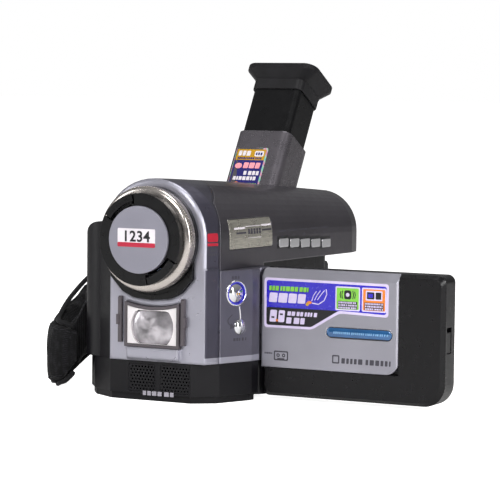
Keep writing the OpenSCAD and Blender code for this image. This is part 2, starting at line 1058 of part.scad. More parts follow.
module cassette_door() {
    color("#2f2e33") {
        intersection() {
            difference() {
                grip_form(0);
                grip_form(wall);
            }
            block([-60, door_y[0], door_z[0]], [-grip_x + 7, door_y[1], door_z[1]]);
        }
        for (lug = [[door_y[0] + 2, STRAP[0][2]], [door_y[1] - 4.6, STRAP[len(STRAP) - 1][2]]])
            strap_lug(lug[0], lug[1]);
    }
}

// Bar that the webbing passes behind
module strap_lug(y, z) {
    half = webbing_half + 2;
    difference() {
        block([-grip_x - 4.8, y, z - half], [-grip_x + 0.5, y + 4, z + half]);
        block([-grip_x - 3.1, y - 1, z - webbing_half - 0.4], [-grip_x, y + 5, z + webbing_half + 0.4]);
    }
}

// Sheet-metal holder that carries the tape on the door
module cassette_holder() {
    color("#9a9a9e")
        difference() {
            block(
                [tape_x - 1.2, tape_y - 1.2, tape_z - 1.2],
                [tape_x + tape_t + 1, tape_y + tape_l + 1.2, tape_z + tape_h - 6]
            );
            block(
                [tape_x - 0.2, tape_y - 0.2, tape_z - 0.2],
                [tape_x + tape_t + 0.2, tape_y + tape_l + 0.2, tape_z + tape_h + 1]
            );
            block(
                [tape_x + tape_t, tape_y + 8, tape_z + 6],
                [tape_x + tape_t + 3, tape_y + tape_l - 8, tape_z + tape_h]
            );
        }
    color("#9a9a9e")
        for (y = [tape_y + 6, tape_y + tape_l - 10])
            block([-grip_x + wall, y, tape_z + 10], [tape_x - 1.2, y + 4, tape_z + 20]);
}

module cassette() {
    color("#3a3c44")
        difference() {
            block([tape_x, tape_y, tape_z], [tape_x + tape_t, tape_y + tape_l, tape_z + tape_h]);
            for (y = [tape_y + tape_l * 0.27, tape_y + tape_l * 0.73])
                translate([tape_x + tape_t - 8, y, tape_z + tape_h * 0.45])
                    rotate([0, 90, 0])
                        cylinder(h = 10, r = 4.4);
        }
}

module tape_deck() {
    color("#8d8f94") {
        block([deck_x, -25, base_z], [deck_x + 1.4, 64, 68]);
        for (y = [tape_y + tape_l * 0.27, tape_y + tape_l * 0.73])
            translate([deck_x - 2.6, y, tape_z + tape_h * 0.45])
                rotate([0, 90, 0])
                    cylinder(h = 2.7, r = 3.4);
    }
}

module head_drum() {
    color("#c4c6cb")
        translate([deck_x - 11, -15.5, 48])
            rotate([0, 90, 0])
                cylinder(h = 11, r = 10.8);
}

module main_board() {
    color("#2e6a44") {
        block([board_x, -25, base_z], [board_x + 1.6, 62, 57]);
        block([board_x + 1.6, -10, 26], [board_x + 3.2, 8, 44]);
        block([board_x + 1.6, 18, 30], [board_x + 3.4, 30, 42]);
    }
}

battery_x = bay_x - 3 - battery_w;
battery_z = [4, 4 + battery_h];
battery_y = rear_y - 3 - battery_t;

module rear_plan(inset) {
    soft_rect([-grip_x + inset, rear_split - 20], [bay_x - inset, rear_y - 6 - inset], 9 - inset);
}

// Rim that closes the rear cover under the ledge of the top cover
module rear_rim() {
    intersection() {
        difference() {
            rise(split_z - 0.4, bay_z)
                rear_plan(0);
            rise(split_z - 1, bay_z + 1)
                rear_plan(wall);
        }
        block([bay_x - 9, core_back + 0.2, base_z], [bay_x, rear_y, bay_z]);
    }
}

module rear_cover() {
    color("#2d2c31") {
        rear_rim();
        difference() {
            union() {
                intersection() {
                    rise(3.2, grip_z)
                        rear_plan(0);
                    run(rear_split, rear_y)
                        soft_rect([-grip_x, -20], [bay_x + 30, grip_z], 8);
                }
                block([-grip_x + 1.6, core_back + 0.2, 3.2], [bay_x, rear_split + 1, base_z - 0.1]);
                block([-20, core_back + 0.2, base_z - 1], [bay_x, rear_split + 1, split_z - 0.2]);
            }
            intersection() {
                rise(3.2 + wall, grip_z - wall)
                    rear_plan(wall);
                block([-60, core_back - 1, 0], [battery_x - wall, rear_y, 100]);
            }
            block(
                [battery_x - 0.3, battery_y, 0],
                [battery_x + battery_w + 0.3, rear_y + 1, battery_z[1] + 0.5]
            );
            block([0.2 - grip_seam_x, core_back, split_z - 0.1], [60, rear_y + 1, 100]);
            translate([dial_at[0], rear_y - 12, dial_at[1]])
                rotate([90, 0, 0])
                    cylinder(h = 12, r = 5.3, center = true);
            block([release_x - 0.3, rear_y - 8, 22], [release_x + 5.3, rear_y, 33]);
        }
    }
}

dial_at = [-33, 66];
release_x = battery_x - 9;

module battery() {
    color("#26262a") {
        difference() {
            block([battery_x, battery_y + 0.2, battery_z[0]], [battery_x + battery_w, rear_y - 3.2, battery_z[1]]);
            for (z = [battery_z[0], battery_z[1]])
                translate([battery_x + battery_w / 2, rear_y - 3.2, z])
                    rotate([45, 0, 0])
                        cube([battery_w + 2, 2.4, 2.4], center = true);
        }
        for (i = [0 : 3])
            block(
                [battery_x + 8, rear_y - 3.3, battery_z[1] - 16 + i * 3],
                [battery_x + battery_w - 8, rear_y - 2.7, battery_z[1] - 14.6 + i * 3]
            );
    }
}

module battery_release() {
    color("#4a4950") {
        block([release_x, rear_y - 7.8, 22.3], [release_x + 5, rear_y - 5.2, 29]);
        block([release_x + 1, rear_y - 5.3, 24], [release_x + 4, rear_y - 4.4, 27.4]);
    }
}

module mode_dial() {
    color("#3a393f")
        translate([dial_at[0], rear_y - 5.7, dial_at[1]])
            rotate([-90, 0, 0])
                difference() {
                    cylinder(h = 4, r = 9);
                    translate([0, 0, -1])
                        cylinder(h = 8, r = 5.3);
                    for (i = [0 : 17])
                        rotate([0, 0, i * 20])
                            translate([9.2, 0, 2])
                                cylinder(h = 6, r = 0.6, center = true, $fn = 16);
                }
}

module record_button() {
    color("#8e8c99")
        translate([dial_at[0], rear_y - 10, dial_at[1]])
            rotate([-90, 0, 0])
                cylinder(h = 9, r = 4.6);
}

module zoom_lever() {
    color("#8e8c99")
        translate([zoom_at[0], zoom_at[1], grip_z]) {
            translate([0, 0, -3])
                cylinder(h = 4, r = 3);
            translate([0, 0, 0.3])
                cylinder(h = 2.2, r = 5.2);
            translate([-2, -9.5, 0.3])
                cube([4, 6, 3.6]);
        }
}

module photo_button() {
    color("#b9b8c0")
        translate([photo_at[0], photo_at[1], grip_z - 2.4])
            cylinder(h = 3 + press, r = 4);
}

module eject_switch() {
    color("#4a4950")
        translate([eject_at[0], eject_at[1], grip_z - 3]) {
            translate([-1.9, -3.7, 0])
                cube([3.8, 7.4, 3.1]);
            translate([-1.9, -1, 3])
                cube([3.8, 2, 1.2]);
        }
}

// Places the eyepiece's own frame: origin on the pivot, +Y along the raised tube, +Z its upper face
module raise_eyepiece() {
    translate([pivot_x, pivot_y, pivot_z])
        rotate([raised, 0, 0])
            children();
}

module tube_section(w, t, r) {
    soft_rect([-w / 2, -t / 2], [w / 2, t / 2], r);
}

module vf_sleeve() {
    color("#77767e")
        raise_eyepiece()
            difference() {
                union() {
                    run(0, sleeve_l)
                        tube_section(sleeve_w, sleeve_t, 4.4);
                    rotate([0, 90, 0])
                        cylinder(h = sleeve_w - 3, r = sleeve_t / 2, center = true);
                }
                run(-1.4, sleeve_l + 1)
                    tube_section(sleeve_w - 2 * sleeve_wall, sleeve_t - 2 * sleeve_wall, 3);
                rotate([0, 90, 0])
                    cylinder(h = sleeve_w + 2, r = 2 + run_gap, center = true);
            }
}

module vf_tube() {
    color("#1d1d20")
        raise_eyepiece()
            difference() {
                run(sleeve_l - tube_hidden, sleeve_l + pull + 6)
                    tube_section(tube_w, tube_t, 2.8);
                run(sleeve_l - tube_hidden - 1, sleeve_l + pull + 7)
                    tube_section(tube_w - 3, tube_t - 3, 1.6);
                block(
                    [-4.4, sleeve_l + pull + 1.1, -tube_t],
                    [4.4, sleeve_l + pull + 4.9, -tube_t / 2 + 0.01]
                );
            }
}

cup_y = sleeve_l + pull + 6;

module eyecup() {
    color("#19191b")
        raise_eyepiece()
            difference() {
                union() {
                    hull() {
                        run(cup_y, cup_y + 1)
                            tube_section(tube_w, tube_t, 2.8);
                        run(cup_y + 5.6, cup_y + 8)
                            tube_section(tube_w + 12.4, 28, 6);
                    }
                }
                hull() {
                    run(cup_y - 1, cup_y)
                        tube_section(tube_w - 4, tube_t - 4, 2);
                    run(cup_y + 7, cup_y + 9)
                        tube_section(tube_w + 8.4, 24, 5);
                }
            }
}

module eyepiece_lens() {
    color("#5b6d8c", 0.6)
        raise_eyepiece()
            run(cup_y - 4, cup_y - 1.6)
                tube_section(tube_w - 3, tube_t - 3, 1.6);
}

module diopter_lever() {
    color("#4a4950")
        raise_eyepiece()
            block(
                [-1.2, sleeve_l + pull + 1.3, -tube_t / 2 - 1],
                [1.2, sleeve_l + pull + 4.7, -tube_t / 2 - 0.05]
            );
}

// Strap: centre line and width at hand-set points, x, y, z, half height
STRAP = [
    [-44.4, -22, 33, 12], [-44.8, -30, 32, 12], [-47.5, -37.5, 21, 13.5], [-52, -38, 18, 15.5],
    [-57.5, -29, 18.5, 17], [-64.5, -7, 24, 19], [-68.5, 20, 32, 20], [-66, 44, 37, 19], [-56, 60, 38, 15],
    [-46.4, 65.6, 38, 12], [-45.8, 70.6, 38, 12]
];
webbing_half = 10.5;
STRAP_STEPS = 4;

function bend(p0, p1, p2, p3, t) =
    0.5 * (2 * p1 + (p2 - p0) * t + (2 * p0 - 5 * p1 + 4 * p2 - p3) * t * t
    + (3 * p1 - p0 - 3 * p2 + p3) * t * t * t);

function strap_points(a, b) = [
    for (i = [a : b - 1], k = [0 : STRAP_STEPS - (i == b - 1 ? 0 : 1)])
        bend(STRAP[max(i - 1, 0)], STRAP[i], STRAP[i + 1], STRAP[min(i + 2, len(STRAP) - 1)], k / STRAP_STEPS)
];

function across_strap(line, i) =
    let (a = line[max(i - 1, 0)], b = line[min(i + 1, len(line) - 1)], d = [b[0] - a[0], b[1] - a[1]])
    [-d[1], d[0]] / norm(d);

// Band that follows the strap line, from one offset to another, with softened edges
module band(line, inner, outer, height) {
    ring = [
        [inner, -0.9], [inner, 0.9], [(inner * 3 + outer) / 4, 1], [(inner + outer * 3) / 4, 1],
        [outer, 0.82], [outer, -0.82], [(inner + outer * 3) / 4, -1], [(inner * 3 + outer) / 4, -1]
    ];
    n = len(ring);
    points = [
        for (i = [0 : len(line) - 1], r = ring)
            let (side = across_strap(line, i), h = height > 0 ? height : line[i][3])
            [line[i][0] + side[0] * r[0], line[i][1] + side[1] * r[0], line[i][2] + r[1] * h]
    ];
    last = (len(line) - 1) * n;
    polyhedron(
        points,
        concat(
            [[for (j = [n - 1 : -1 : 0]) j]],
            [[for (j = [0 : n - 1]) last + j]],
            [
                for (i = [0 : len(line) - 2], j = [0 : n - 1])
                    [i * n + j, i * n + (j + 1) % n, (i + 1) * n + (j + 1) % n, (i + 1) * n + j]
            ]
        )
    );
}

module strap_pad() {
    color("#141416")
        band(strap_points(2, 8), 0, 8, 0);
}

module strap_webbing() {
    color("#0f0f11")
        band(strap_points(0, 10), -1.9, -0.3, webbing_half);
}

SCREWS = [[-30, -30], [-30, 56], [10, -34], [14, 58]];
screw_r = 2.2;
shank_r = 1.1;
head_t = 1.2;

module screw_hole() {
    cylinder(h = head_t + 0.3, r = screw_r + 0.15);
    cylinder(h = 8, r = shank_r + 0.02);
}

module case_screws() {
    color("#6a6a70")
        for (p = SCREWS)
            translate([p[0], p[1], 0.3])
                difference() {
                    union() {
                        cylinder(h = head_t - 0.01, r = screw_r);
                        cylinder(h = 6, r = shank_r);
                    }
                    for (turn = [0, 90])
                        rotate([0, 0, turn])
                            block([-1.4, -0.3, -1], [1.4, 0.3, 0.6]);
                }
}

front_bezel();
lens_barrel();
focus_ring();
lens_collar();
front_lens();
rear_lens();
image_sensor();
cap_ring();
cap_disc();
cap_tab_upper();
cap_tab_lower();
light_frame();
light_window();
light_reflector();
light_bulb();
mic_grille();
base_cover();
tripod_bush();
top_cover();
side_cover();
bay_wall();
display_plate();
play_button_1();
play_button_2();
play_button_3();
play_button_4();
play_button_5();
easy_ring();
easy_button();
custom_button();
hinge_post();
lcd_frame();
lcd_cover();
lcd_screen();
lcd_latch();
lcd_badge();
grip_cover();
cassette_door();
cassette_holder();
cassette();
tape_deck();
head_drum();
main_board();
rear_cover();
battery();
battery_release();
mode_dial();
record_button();
zoom_lever();
photo_button();
eject_switch();
jack_cover();
vf_sleeve();
vf_tube();
eyecup();
eyepiece_lens();
diopter_lever();
strap_pad();
strap_webbing();
case_screws();
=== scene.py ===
"""Looks of a compact tape camcorder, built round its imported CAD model.

Sizes in the classes are millimetres in the model's own frame: +Z up, the lens towards -Y, the monitor on +X, and the
tripod socket's mouth at the origin. `M` turns them to metres where a mesh or a light is made.
"""

import json
import logging
import math
import random
from dataclasses import dataclass, field
from enum import Enum
from typing import Any, Callable, Iterable, Sequence

import bmesh
import bpy
from mathutils import Matrix, Vector, noise
from mathutils.bvhtree import BVHTree

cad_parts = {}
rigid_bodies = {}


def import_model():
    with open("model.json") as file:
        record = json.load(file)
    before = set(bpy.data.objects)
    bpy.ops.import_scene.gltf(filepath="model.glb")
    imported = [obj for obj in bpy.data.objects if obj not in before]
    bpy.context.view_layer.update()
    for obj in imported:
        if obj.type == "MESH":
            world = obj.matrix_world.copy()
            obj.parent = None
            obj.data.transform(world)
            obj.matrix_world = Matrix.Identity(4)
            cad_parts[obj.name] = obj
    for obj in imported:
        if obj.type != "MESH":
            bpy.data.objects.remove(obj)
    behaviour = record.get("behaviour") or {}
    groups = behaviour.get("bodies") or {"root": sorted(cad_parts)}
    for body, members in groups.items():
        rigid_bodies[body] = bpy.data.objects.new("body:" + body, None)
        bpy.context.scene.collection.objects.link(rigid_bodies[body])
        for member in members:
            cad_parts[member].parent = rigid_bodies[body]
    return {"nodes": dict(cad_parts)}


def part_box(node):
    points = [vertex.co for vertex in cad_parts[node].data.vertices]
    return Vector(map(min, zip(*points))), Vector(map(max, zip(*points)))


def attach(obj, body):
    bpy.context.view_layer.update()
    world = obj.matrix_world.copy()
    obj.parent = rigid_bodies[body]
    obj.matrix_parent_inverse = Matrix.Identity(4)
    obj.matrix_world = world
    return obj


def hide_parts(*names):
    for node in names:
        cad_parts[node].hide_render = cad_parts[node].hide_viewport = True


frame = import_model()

M = 0.001
LOG = logging.getLogger("camcorder")
Point = Sequence[float]
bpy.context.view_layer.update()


def linear(code: str, alpha: float = 1.0) -> tuple[float, float, float, float]:
    """Turns an sRGB hex colour to the linear one that shaders use.

    Args:
        code: the colour as "#rrggbb".
        alpha: the fourth value.

    Returns:
        Linear red, green and blue with alpha.
    """
    parts = [int(code[i : i + 2], 16) / 255 for i in (1, 3, 5)]
    low, high = [p / 12.92 for p in parts], [((p + 0.055) / 1.055) ** 2.4 for p in parts]
    return tuple(lo if p <= 0.04045 else hi for p, lo, hi in zip(parts, low, high)) + (alpha,)


def add(tree: bpy.types.NodeTree, kind: str, inputs: dict | None = None, **settings: Any) -> bpy.types.Node:
    """Adds one node with its settings and links.

    Args:
        tree: the tree that gets the node.
        kind: the node's type name.
        inputs: socket name or index against a value, or against the output that feeds it.
        settings: the node's own properties.

    Returns:
        The new node.
    """
    made = tree.nodes.new(kind)
    for name, value in settings.items():
        setattr(made, name, value)
    for key, value in (inputs or {}).items():
        if isinstance(value, bpy.types.NodeSocket):
            tree.links.new(value, made.inputs[key])
        else:
            made.inputs[key].default_value = value
    return made


class Stretch(Enum):
    """Which way a drawn or brushed grain runs, as the scale of its noise along X, Y and Z."""

    ALONG_X = (0.04, 1.0, 1.0)
    ALONG_Y = (1.0, 0.04, 1.0)
    ALONG_Z = (1.0, 1.0, 0.04)
    NONE = (1.0, 1.0, 1.0)


@dataclass(frozen=True)
class Finish:
    """What every finish has: a name, a colour and a gloss.

    `drift` is how far the tone wanders over the part, and `edge_mm` how far light rounds a moulded edge.
    """

    name: str
    colour: str
    rough: float = 0.4
    metallic: float = 0.0
    coat: float = 0.0
    coat_rough: float = 0.08
    drift: float = 0.06
    edge_mm: float = 0.35
    specular: float = 0.5

    def material(self) -> bpy.types.Material:
        """Gives the finish's material, built on first use."""
        found = bpy.data.materials.get(self.name)
        if found:
            return found
        made = bpy.data.materials.new(self.name)
        made.use_nodes = True
        tree = made.node_tree
        tree.nodes.clear()
        shader = add(tree, "ShaderNodeBsdfPrincipled", {
            "Base Color": linear(self.colour), "Roughness": self.rough, "Metallic": self.metallic,
            "Coat Weight": self.coat, "Coat Roughness": self.coat_rough, "Specular IOR Level": self.specular,
        })
        add(tree, "ShaderNodeOutputMaterial", {"Surface": shader.outputs[0]})
        self.dress(tree, shader)
        return made

    def dress(self, tree: bpy.types.NodeTree, shader: bpy.types.Node) -> None:
        """Adds the pattern that the surface shows.

        Args:
            tree: the material's tree.
            shader: its Principled shader.
        """
        raise NotImplementedError

    def place(self, tree: bpy.types.NodeTree, scale: Point = (1, 1, 1),
              turn: Point = (0, 0, 0)) -> bpy.types.NodeSocket:
        """Gives object coordinates in millimetres.

        Args:
            tree: the material's tree.
            scale: further scale along each axis.
            turn: rotation in degrees.

        Returns:
            The vector socket.
        """
        coords = add(tree, "ShaderNodeTexCoord")
        size = [s / M for s in scale]
        return add(tree, "ShaderNodeMapping", {
            "Vector": coords.outputs["Object"], "Scale": size, "Rotation": [math.radians(t) for t in turn],
        }, vector_type="POINT").outputs[0]

    def noise(self, tree: bpy.types.NodeTree, where: bpy.types.NodeSocket, size: float,
              detail: float = 2.0) -> bpy.types.NodeSocket:
        """Gives the value of a noise whose blobs are `size` millimetres across."""
        return add(tree, "ShaderNodeTexNoise", {"Vector": where, "Scale": 1 / size, "Detail": detail}).outputs[0]

    def spread(self, tree: bpy.types.NodeTree, value: bpy.types.NodeSocket, low: float, high: float,
               start: float = 0.3, end: float = 0.7) -> bpy.types.NodeSocket:
        """Maps a value between `start` and `end` to the range from `low` to `high`."""
        return add(tree, "ShaderNodeMapRange", {
            "Value": value, "From Min": start, "From Max": end, "To Min": low, "To Max": high,
        }).outputs[0]

    def tint(self, tree: bpy.types.NodeTree, share: bpy.types.NodeSocket, under: Any,
             over: Any) -> bpy.types.NodeSocket:
        """Mixes two colours, or a socket and a colour, by a share."""
        return add(tree, "ShaderNodeMix", {0: share, 6: under, 7: over}, data_type="RGBA").outputs[2]

    def toned(self, tree: bpy.types.NodeTree, where: bpy.types.NodeSocket, size: float) -> bpy.types.NodeSocket:
        """Gives the finish's colour with its slow drift of tone, in patches `size` millimetres across."""
        dark, light = ([c * (1 + side * self.drift) for c in linear(self.colour)[:3]] + [1] for side in (-1, 1))
        return self.tint(tree, self.spread(tree, self.noise(tree, where, size), 0, 1), dark, light)

    def rounded(self, tree: bpy.types.NodeTree) -> bpy.types.NodeSocket:
        """Gives normals that turn smoothly over a moulded edge, so that it catches the light."""
        return add(tree, "ShaderNodeBevel", {"Radius": self.edge_mm * M}, samples=6).outputs[0]

    def worn(self, tree: bpy.types.NodeTree, soft: bpy.types.NodeSocket,
             patchy: bpy.types.NodeSocket) -> bpy.types.NodeSocket:
        """Gives the share by which handled edges are rubbed: where the rounded normal leaves the true one."""
        true = add(tree, "ShaderNodeNewGeometry").outputs["Normal"]
        facing = add(tree, "ShaderNodeVectorMath", {0: soft, 1: true}, operation="DOT_PRODUCT").outputs["Value"]
        edge = self.spread(tree, facing, 1.0, 0.0, 0.8, 0.94)
        patches = self.spread(tree, patchy, 0.0, 0.8)
        return add(tree, "ShaderNodeMath", {0: edge, 1: patches}, operation="MULTIPLY").outputs[0]

    def bumped(self, tree: bpy.types.NodeTree, height: bpy.types.NodeSocket, depth: float,
               normal: bpy.types.NodeSocket | None = None) -> bpy.types.NodeSocket:
        """Gives normals raised by a height whose full range is `depth` millimetres."""
        inputs: dict[str, Any] = {"Height": height, "Distance": depth * M}
        if normal:
            inputs["Normal"] = normal
        return add(tree, "ShaderNodeBump", inputs).outputs[0]


@dataclass(frozen=True)
class MouldedPlastic(Finish):
    """Injection-moulded ABS, bare or sprayed: a fine spark-eroded grain, a slow drift of tone and rubbed edges."""

    grain_mm: float = 0.45
    grain_depth: float = 0.012
    rub: float = 0.35
    rub_colour: str = "#B9B7C0"

    def dress(self, tree: bpy.types.NodeTree, shader: bpy.types.Node) -> None:
        """Adds grain, tone and wear."""
        where = self.place(tree)
        grain = self.noise(tree, where, self.grain_mm)
        patchy = self.noise(tree, where, 9.0, 3.0)
        soft = self.rounded(tree)
        rubbed = self.worn(tree, soft, patchy)
        wear = add(tree, "ShaderNodeMath", {0: rubbed, 1: self.rub}, operation="MULTIPLY").outputs[0]
        base = self.tint(tree, wear, self.toned(tree, where, 26.0), linear(self.rub_colour))
        tree.links.new(base, shader.inputs["Base Color"])
        sheen = self.spread(tree, self.noise(tree, where, 5.0, 4.0), self.rough - 0.05, self.rough + 0.05)
        tree.links.new(sheen, shader.inputs["Roughness"])
        tree.links.new(self.bumped(tree, grain, self.grain_depth, soft), shader.inputs["Normal"])


@dataclass(frozen=True)
class MetallicPaint(MouldedPlastic):
    """Silver automotive-style paint on ABS: aluminium flakes about 0.2 mm across twinkle under a thin lacquer."""

    flake_mm: float = 0.3

    def dress(self, tree: bpy.types.NodeTree, shader: bpy.types.Node) -> None:
        """Adds the flakes over the moulded surface."""
        super().dress(tree, shader)
        where = self.place(tree)
        flakes = add(tree, "ShaderNodeTexVoronoi", {"Vector": where, "Scale": 1 / self.flake_mm})
        lit = self.spread(tree, flakes.outputs["Distance"], self.metallic + 0.12, self.metallic - 0.12, 0.0, 0.8)
        tree.links.new(lit, shader.inputs["Metallic"])


@dataclass(frozen=True)
class ZonedSecondTone(MetallicPaint):
    """Silver paint with a second tone laid in zones, so that the border between the two is crisp: a second paint on
    the bezel, a painted highlight along the side wall's foot.

    Each zone of `zones` is a tuple of conditions (axis, sign, limit) in millimetres, all of which hold in it.
    """

    second: str = "#454350"
    zones: tuple = ()

    def joined(self, tree: bpy.types.NodeTree, one: bpy.types.NodeSocket, other: bpy.types.NodeSocket,
               rule: str) -> bpy.types.NodeSocket:
        """Joins two masks by a maths rule."""
        return add(tree, "ShaderNodeMath", {0: one, 1: other}, operation=rule).outputs[0]

    def dress(self, tree: bpy.types.NodeTree, shader: bpy.types.Node) -> None:
        """Adds the second tone in its zones."""
        super().dress(tree, shader)
        split = add(tree, "ShaderNodeSeparateXYZ", {0: self.place(tree)}).outputs
        mask = None
        for zone in self.zones:
            held = None
            for axis, sign, limit in zone:
                rule = "GREATER_THAN" if sign > 0 else "LESS_THAN"
                met = add(tree, "ShaderNodeMath", {0: split[axis], 1: limit}, operation=rule).outputs[0]
                held = met if held is None else self.joined(tree, held, met, "MULTIPLY")
            mask = held if mask is None else self.joined(tree, mask, held, "MAXIMUM")
        base = shader.inputs["Base Color"].links[0].from_socket
        tree.links.new(self.tint(tree, mask, base, linear(self.second)), shader.inputs["Base Color"])


@dataclass(frozen=True)
class DrawnMetal(Finish):
    """Metal with a brushed, turned or plated surface: fine streaks one way, smudges of gloss across them."""

    stretch: Stretch = Stretch.NONE
    streak_mm: float = 0.35
    streak: float = 0.12
    depth: float = 0.004

    def dress(self, tree: bpy.types.NodeTree, shader: bpy.types.Node) -> None:
        """Adds streaks to the tone, the gloss and the height."""
        where = self.place(tree, self.stretch.value)
        lines = self.noise(tree, where, self.streak_mm, 3.0)
        dark, light = ([c * (1 + side * self.streak) for c in linear(self.colour)[:3]] + [1] for side in (-1, 1))
        tree.links.new(self.tint(tree, self.spread(tree, lines, 0, 1), dark, light), shader.inputs["Base Color"])
        smudge = self.noise(tree, self.place(tree), 4.0, 3.0)
        tree.links.new(self.spread(tree, smudge, self.rough * 0.8, self.rough * 1.25), shader.inputs["Roughness"])
        tree.links.new(self.bumped(tree, lines, self.depth, self.rounded(tree)), shader.inputs["Normal"])


@dataclass(frozen=True)
class ClearLens(Finish):
    """Coated optical glass or clear polycarbonate: it lets light through, with a faint tint and hairline dust."""

    ior: float = 1.5
    through: float = 1.0

    def dress(self, tree: bpy.types.NodeTree, shader: bpy.types.Node) -> None:
        """Sets the glass and a trace of dust in its gloss."""
        shader.inputs["IOR"].default_value = self.ior
        shader.inputs["Transmission Weight"].default_value = self.through
        dust = self.noise(tree, self.place(tree), 0.8, 4.0)
        tree.links.new(self.spread(tree, dust, self.rough, self.rough + 0.05, 0.55, 0.75), shader.inputs["Roughness"])
        tree.links.new(self.toned(tree, self.place(tree), 12.0), shader.inputs["Base Color"])


@dataclass(frozen=True)
class Gloss(Finish):
    """A smooth lacquered or printed surface: label paper under film, tinted plastic, enamel."""

    fleck_mm: float = 1.6
    spread_of_gloss: float = 0.04

    def dress(self, tree: bpy.types.NodeTree, shader: bpy.types.Node) -> None:
        """Adds a slight mottle to the tone and gloss."""
        where = self.place(tree)
        tree.links.new(self.toned(tree, where, self.fleck_mm * 4), shader.inputs["Base Color"])
        mottle = self.spread(tree, self.noise(tree, where, self.fleck_mm, 3.0), self.rough - self.spread_of_gloss,
                             self.rough + self.spread_of_gloss)
        tree.links.new(mottle, shader.inputs["Roughness"])


@dataclass(frozen=True)
class FoilPrint(Finish):
    """Diffraction foil: its hue runs through pale pink, green and cyan along the label, as hologram borders do."""

    band_mm: float = 9.0

    def dress(self, tree: bpy.types.NodeTree, shader: bpy.types.Node) -> None:
        """Adds the run of pale hues."""
        where = self.place(tree, (1 / self.band_mm,) * 3, (20, 35, 0))
        wave = add(tree, "ShaderNodeTexWave", {"Vector": where, "Scale": 0.9, "Distortion": 3.0, "Detail": 2.0})
        ramp = add(tree, "ShaderNodeValToRGB", {"Fac": wave.outputs["Fac"]})
        ramp.color_ramp.elements[0].color = linear("#F2A9B8")
        ramp.color_ramp.elements[1].color = linear("#8FE6DA")
        for at, code in ((0.35, "#CFC4F0"), (0.65, "#D8F2B4")):
            ramp.color_ramp.elements.new(at).color = linear(code)
        tree.links.new(ramp.outputs[0], shader.inputs["Base Color"])


@dataclass(frozen=True)
class Rubber(Finish):
    """Moulded elastomer: matt, slightly velvety, with a powdery bloom in patches."""

    bloom: float = 0.25

    def dress(self, tree: bpy.types.NodeTree, shader: bpy.types.Node) -> None:
        """Adds bloom and a soft grain."""
        where = self.place(tree)
        shader.inputs["Sheen Weight"].default_value = 0.04
        shader.inputs["Sheen Roughness"].default_value = 0.5
        share = self.spread(tree, self.noise(tree, where, 7.0, 4.0), 0.0, self.bloom)
        tree.links.new(self.tint(tree, share, linear(self.colour), linear("#35343A")), shader.inputs["Base Color"])
        grain = self.noise(tree, where, 0.5)
        tree.links.new(self.bumped(tree, grain, 0.02, self.rounded(tree)), shader.inputs["Normal"])


@dataclass(frozen=True)
class Woven(Finish):
    """Woven nylon that reads its own UV map in millimetres: over-and-under threads with a soft sheen."""

    warp_mm: float = 0.9
    weft_mm: float = 0.7
    depth: float = 0.18
    thread: str = "#34333A"
    lint: float = 0.3

    def dress(self, tree: bpy.types.NodeTree, shader: bpy.types.Node) -> None:
        """Adds the weave, lint and sheen."""
        shader.inputs["Sheen Weight"].default_value = 0.06
        shader.inputs["Sheen Roughness"].default_value = 0.4
        uv = add(tree, "ShaderNodeUVMap", uv_map="cloth").outputs[0]
        waves = [
            add(tree, "ShaderNodeTexWave",
                {"Vector": uv, "Scale": 0.3142 / size, "Distortion": 0.4, "Detail Scale": 3.0},
                bands_direction=way).outputs["Fac"]
            for size, way in ((self.warp_mm, "X"), (self.weft_mm, "Y"))
        ]
        checks = add(tree, "ShaderNodeMath", {0: waves[0], 1: waves[1]}, operation="MULTIPLY").outputs[0]
        fluff = self.noise(tree, self.place(tree), 2.2, 5.0)
        height = add(tree, "ShaderNodeMath", {0: checks, 1: fluff}, operation="ADD").outputs[0]
        base = self.tint(tree, checks, linear(self.colour), linear(self.thread))
        base = self.tint(tree, self.spread(tree, fluff, 0.0, self.lint, 0.5, 0.8), base, linear("#37363B"))
        tree.links.new(base, shader.inputs["Base Color"])
        tree.links.new(self.bumped(tree, height, self.depth), shader.inputs["Normal"])


@dataclass(frozen=True)
class CircuitBoard(Finish):
    """Glass-epoxy laminate under green solder mask, with copper tracks standing just proud."""

    track: str = "#2F7A4C"

    def dress(self, tree: bpy.types.NodeTree, shader: bpy.types.Node) -> None:
        """Adds tracks on a 2.5 mm grid."""
        bricks = add(tree, "ShaderNodeTexBrick", {
            "Vector": self.place(tree, (1, 1, 1), (0, 90, 90)), "Scale": 0.4, "Mortar Size": 0.03,
            "Color1": linear(self.colour), "Color2": linear("#1C5433"), "Mortar": linear(self.track),
        })
        tree.links.new(bricks.outputs[0], shader.inputs["Base Color"])
        tree.links.new(self.bumped(tree, bricks.outputs[1], 0.05), shader.inputs["Normal"])


# Sprayed silver on ABS: flakes and a satin lacquer, so edges glint and faces stay calm.
SILVER = MetallicPaint("painted_abs_silver", "#A9A8B4", 0.32, 0.75, edge_mm=0.8, coat=0.25, coat_rough=0.18)
# The same paint a tone deeper on the monitor's cover.
PANEL_SILVER = MetallicPaint("painted_abs_panel_silver", "#9D9CA6", 0.34, 0.7, edge_mm=0.8, coat=0.2,
    coat_rough=0.2)
# Dark metallic spray on ABS: long soft highlights over a near-black grey.
GUNMETAL = MetallicPaint("painted_abs_gunmetal", "#4E4B51", 0.34, 0.75, edge_mm=0.9, coat=0.2, coat_rough=0.2)
# Slate metallic spray on ABS: cooler and bluer than the top shell.
SIDE = MetallicPaint("painted_abs_slate", "#5F5D69", 0.36, 0.7, coat=0.2, coat_rough=0.2)
# Warm grey metallic paint under lacquer: a bright line down the rounded corners.
SLEEVE = MetallicPaint("painted_abs_warm_grey", "#6B676D", 0.28, 0.8, edge_mm=1.2, coat=0.45, coat_rough=0.1)
# Grey paint on the hinge post: a touch lighter than its shadowed place.
POST = MetallicPaint("painted_abs_hinge_grey", "#75737B", 0.36, 0.5, coat=0.2, coat_rough=0.15)
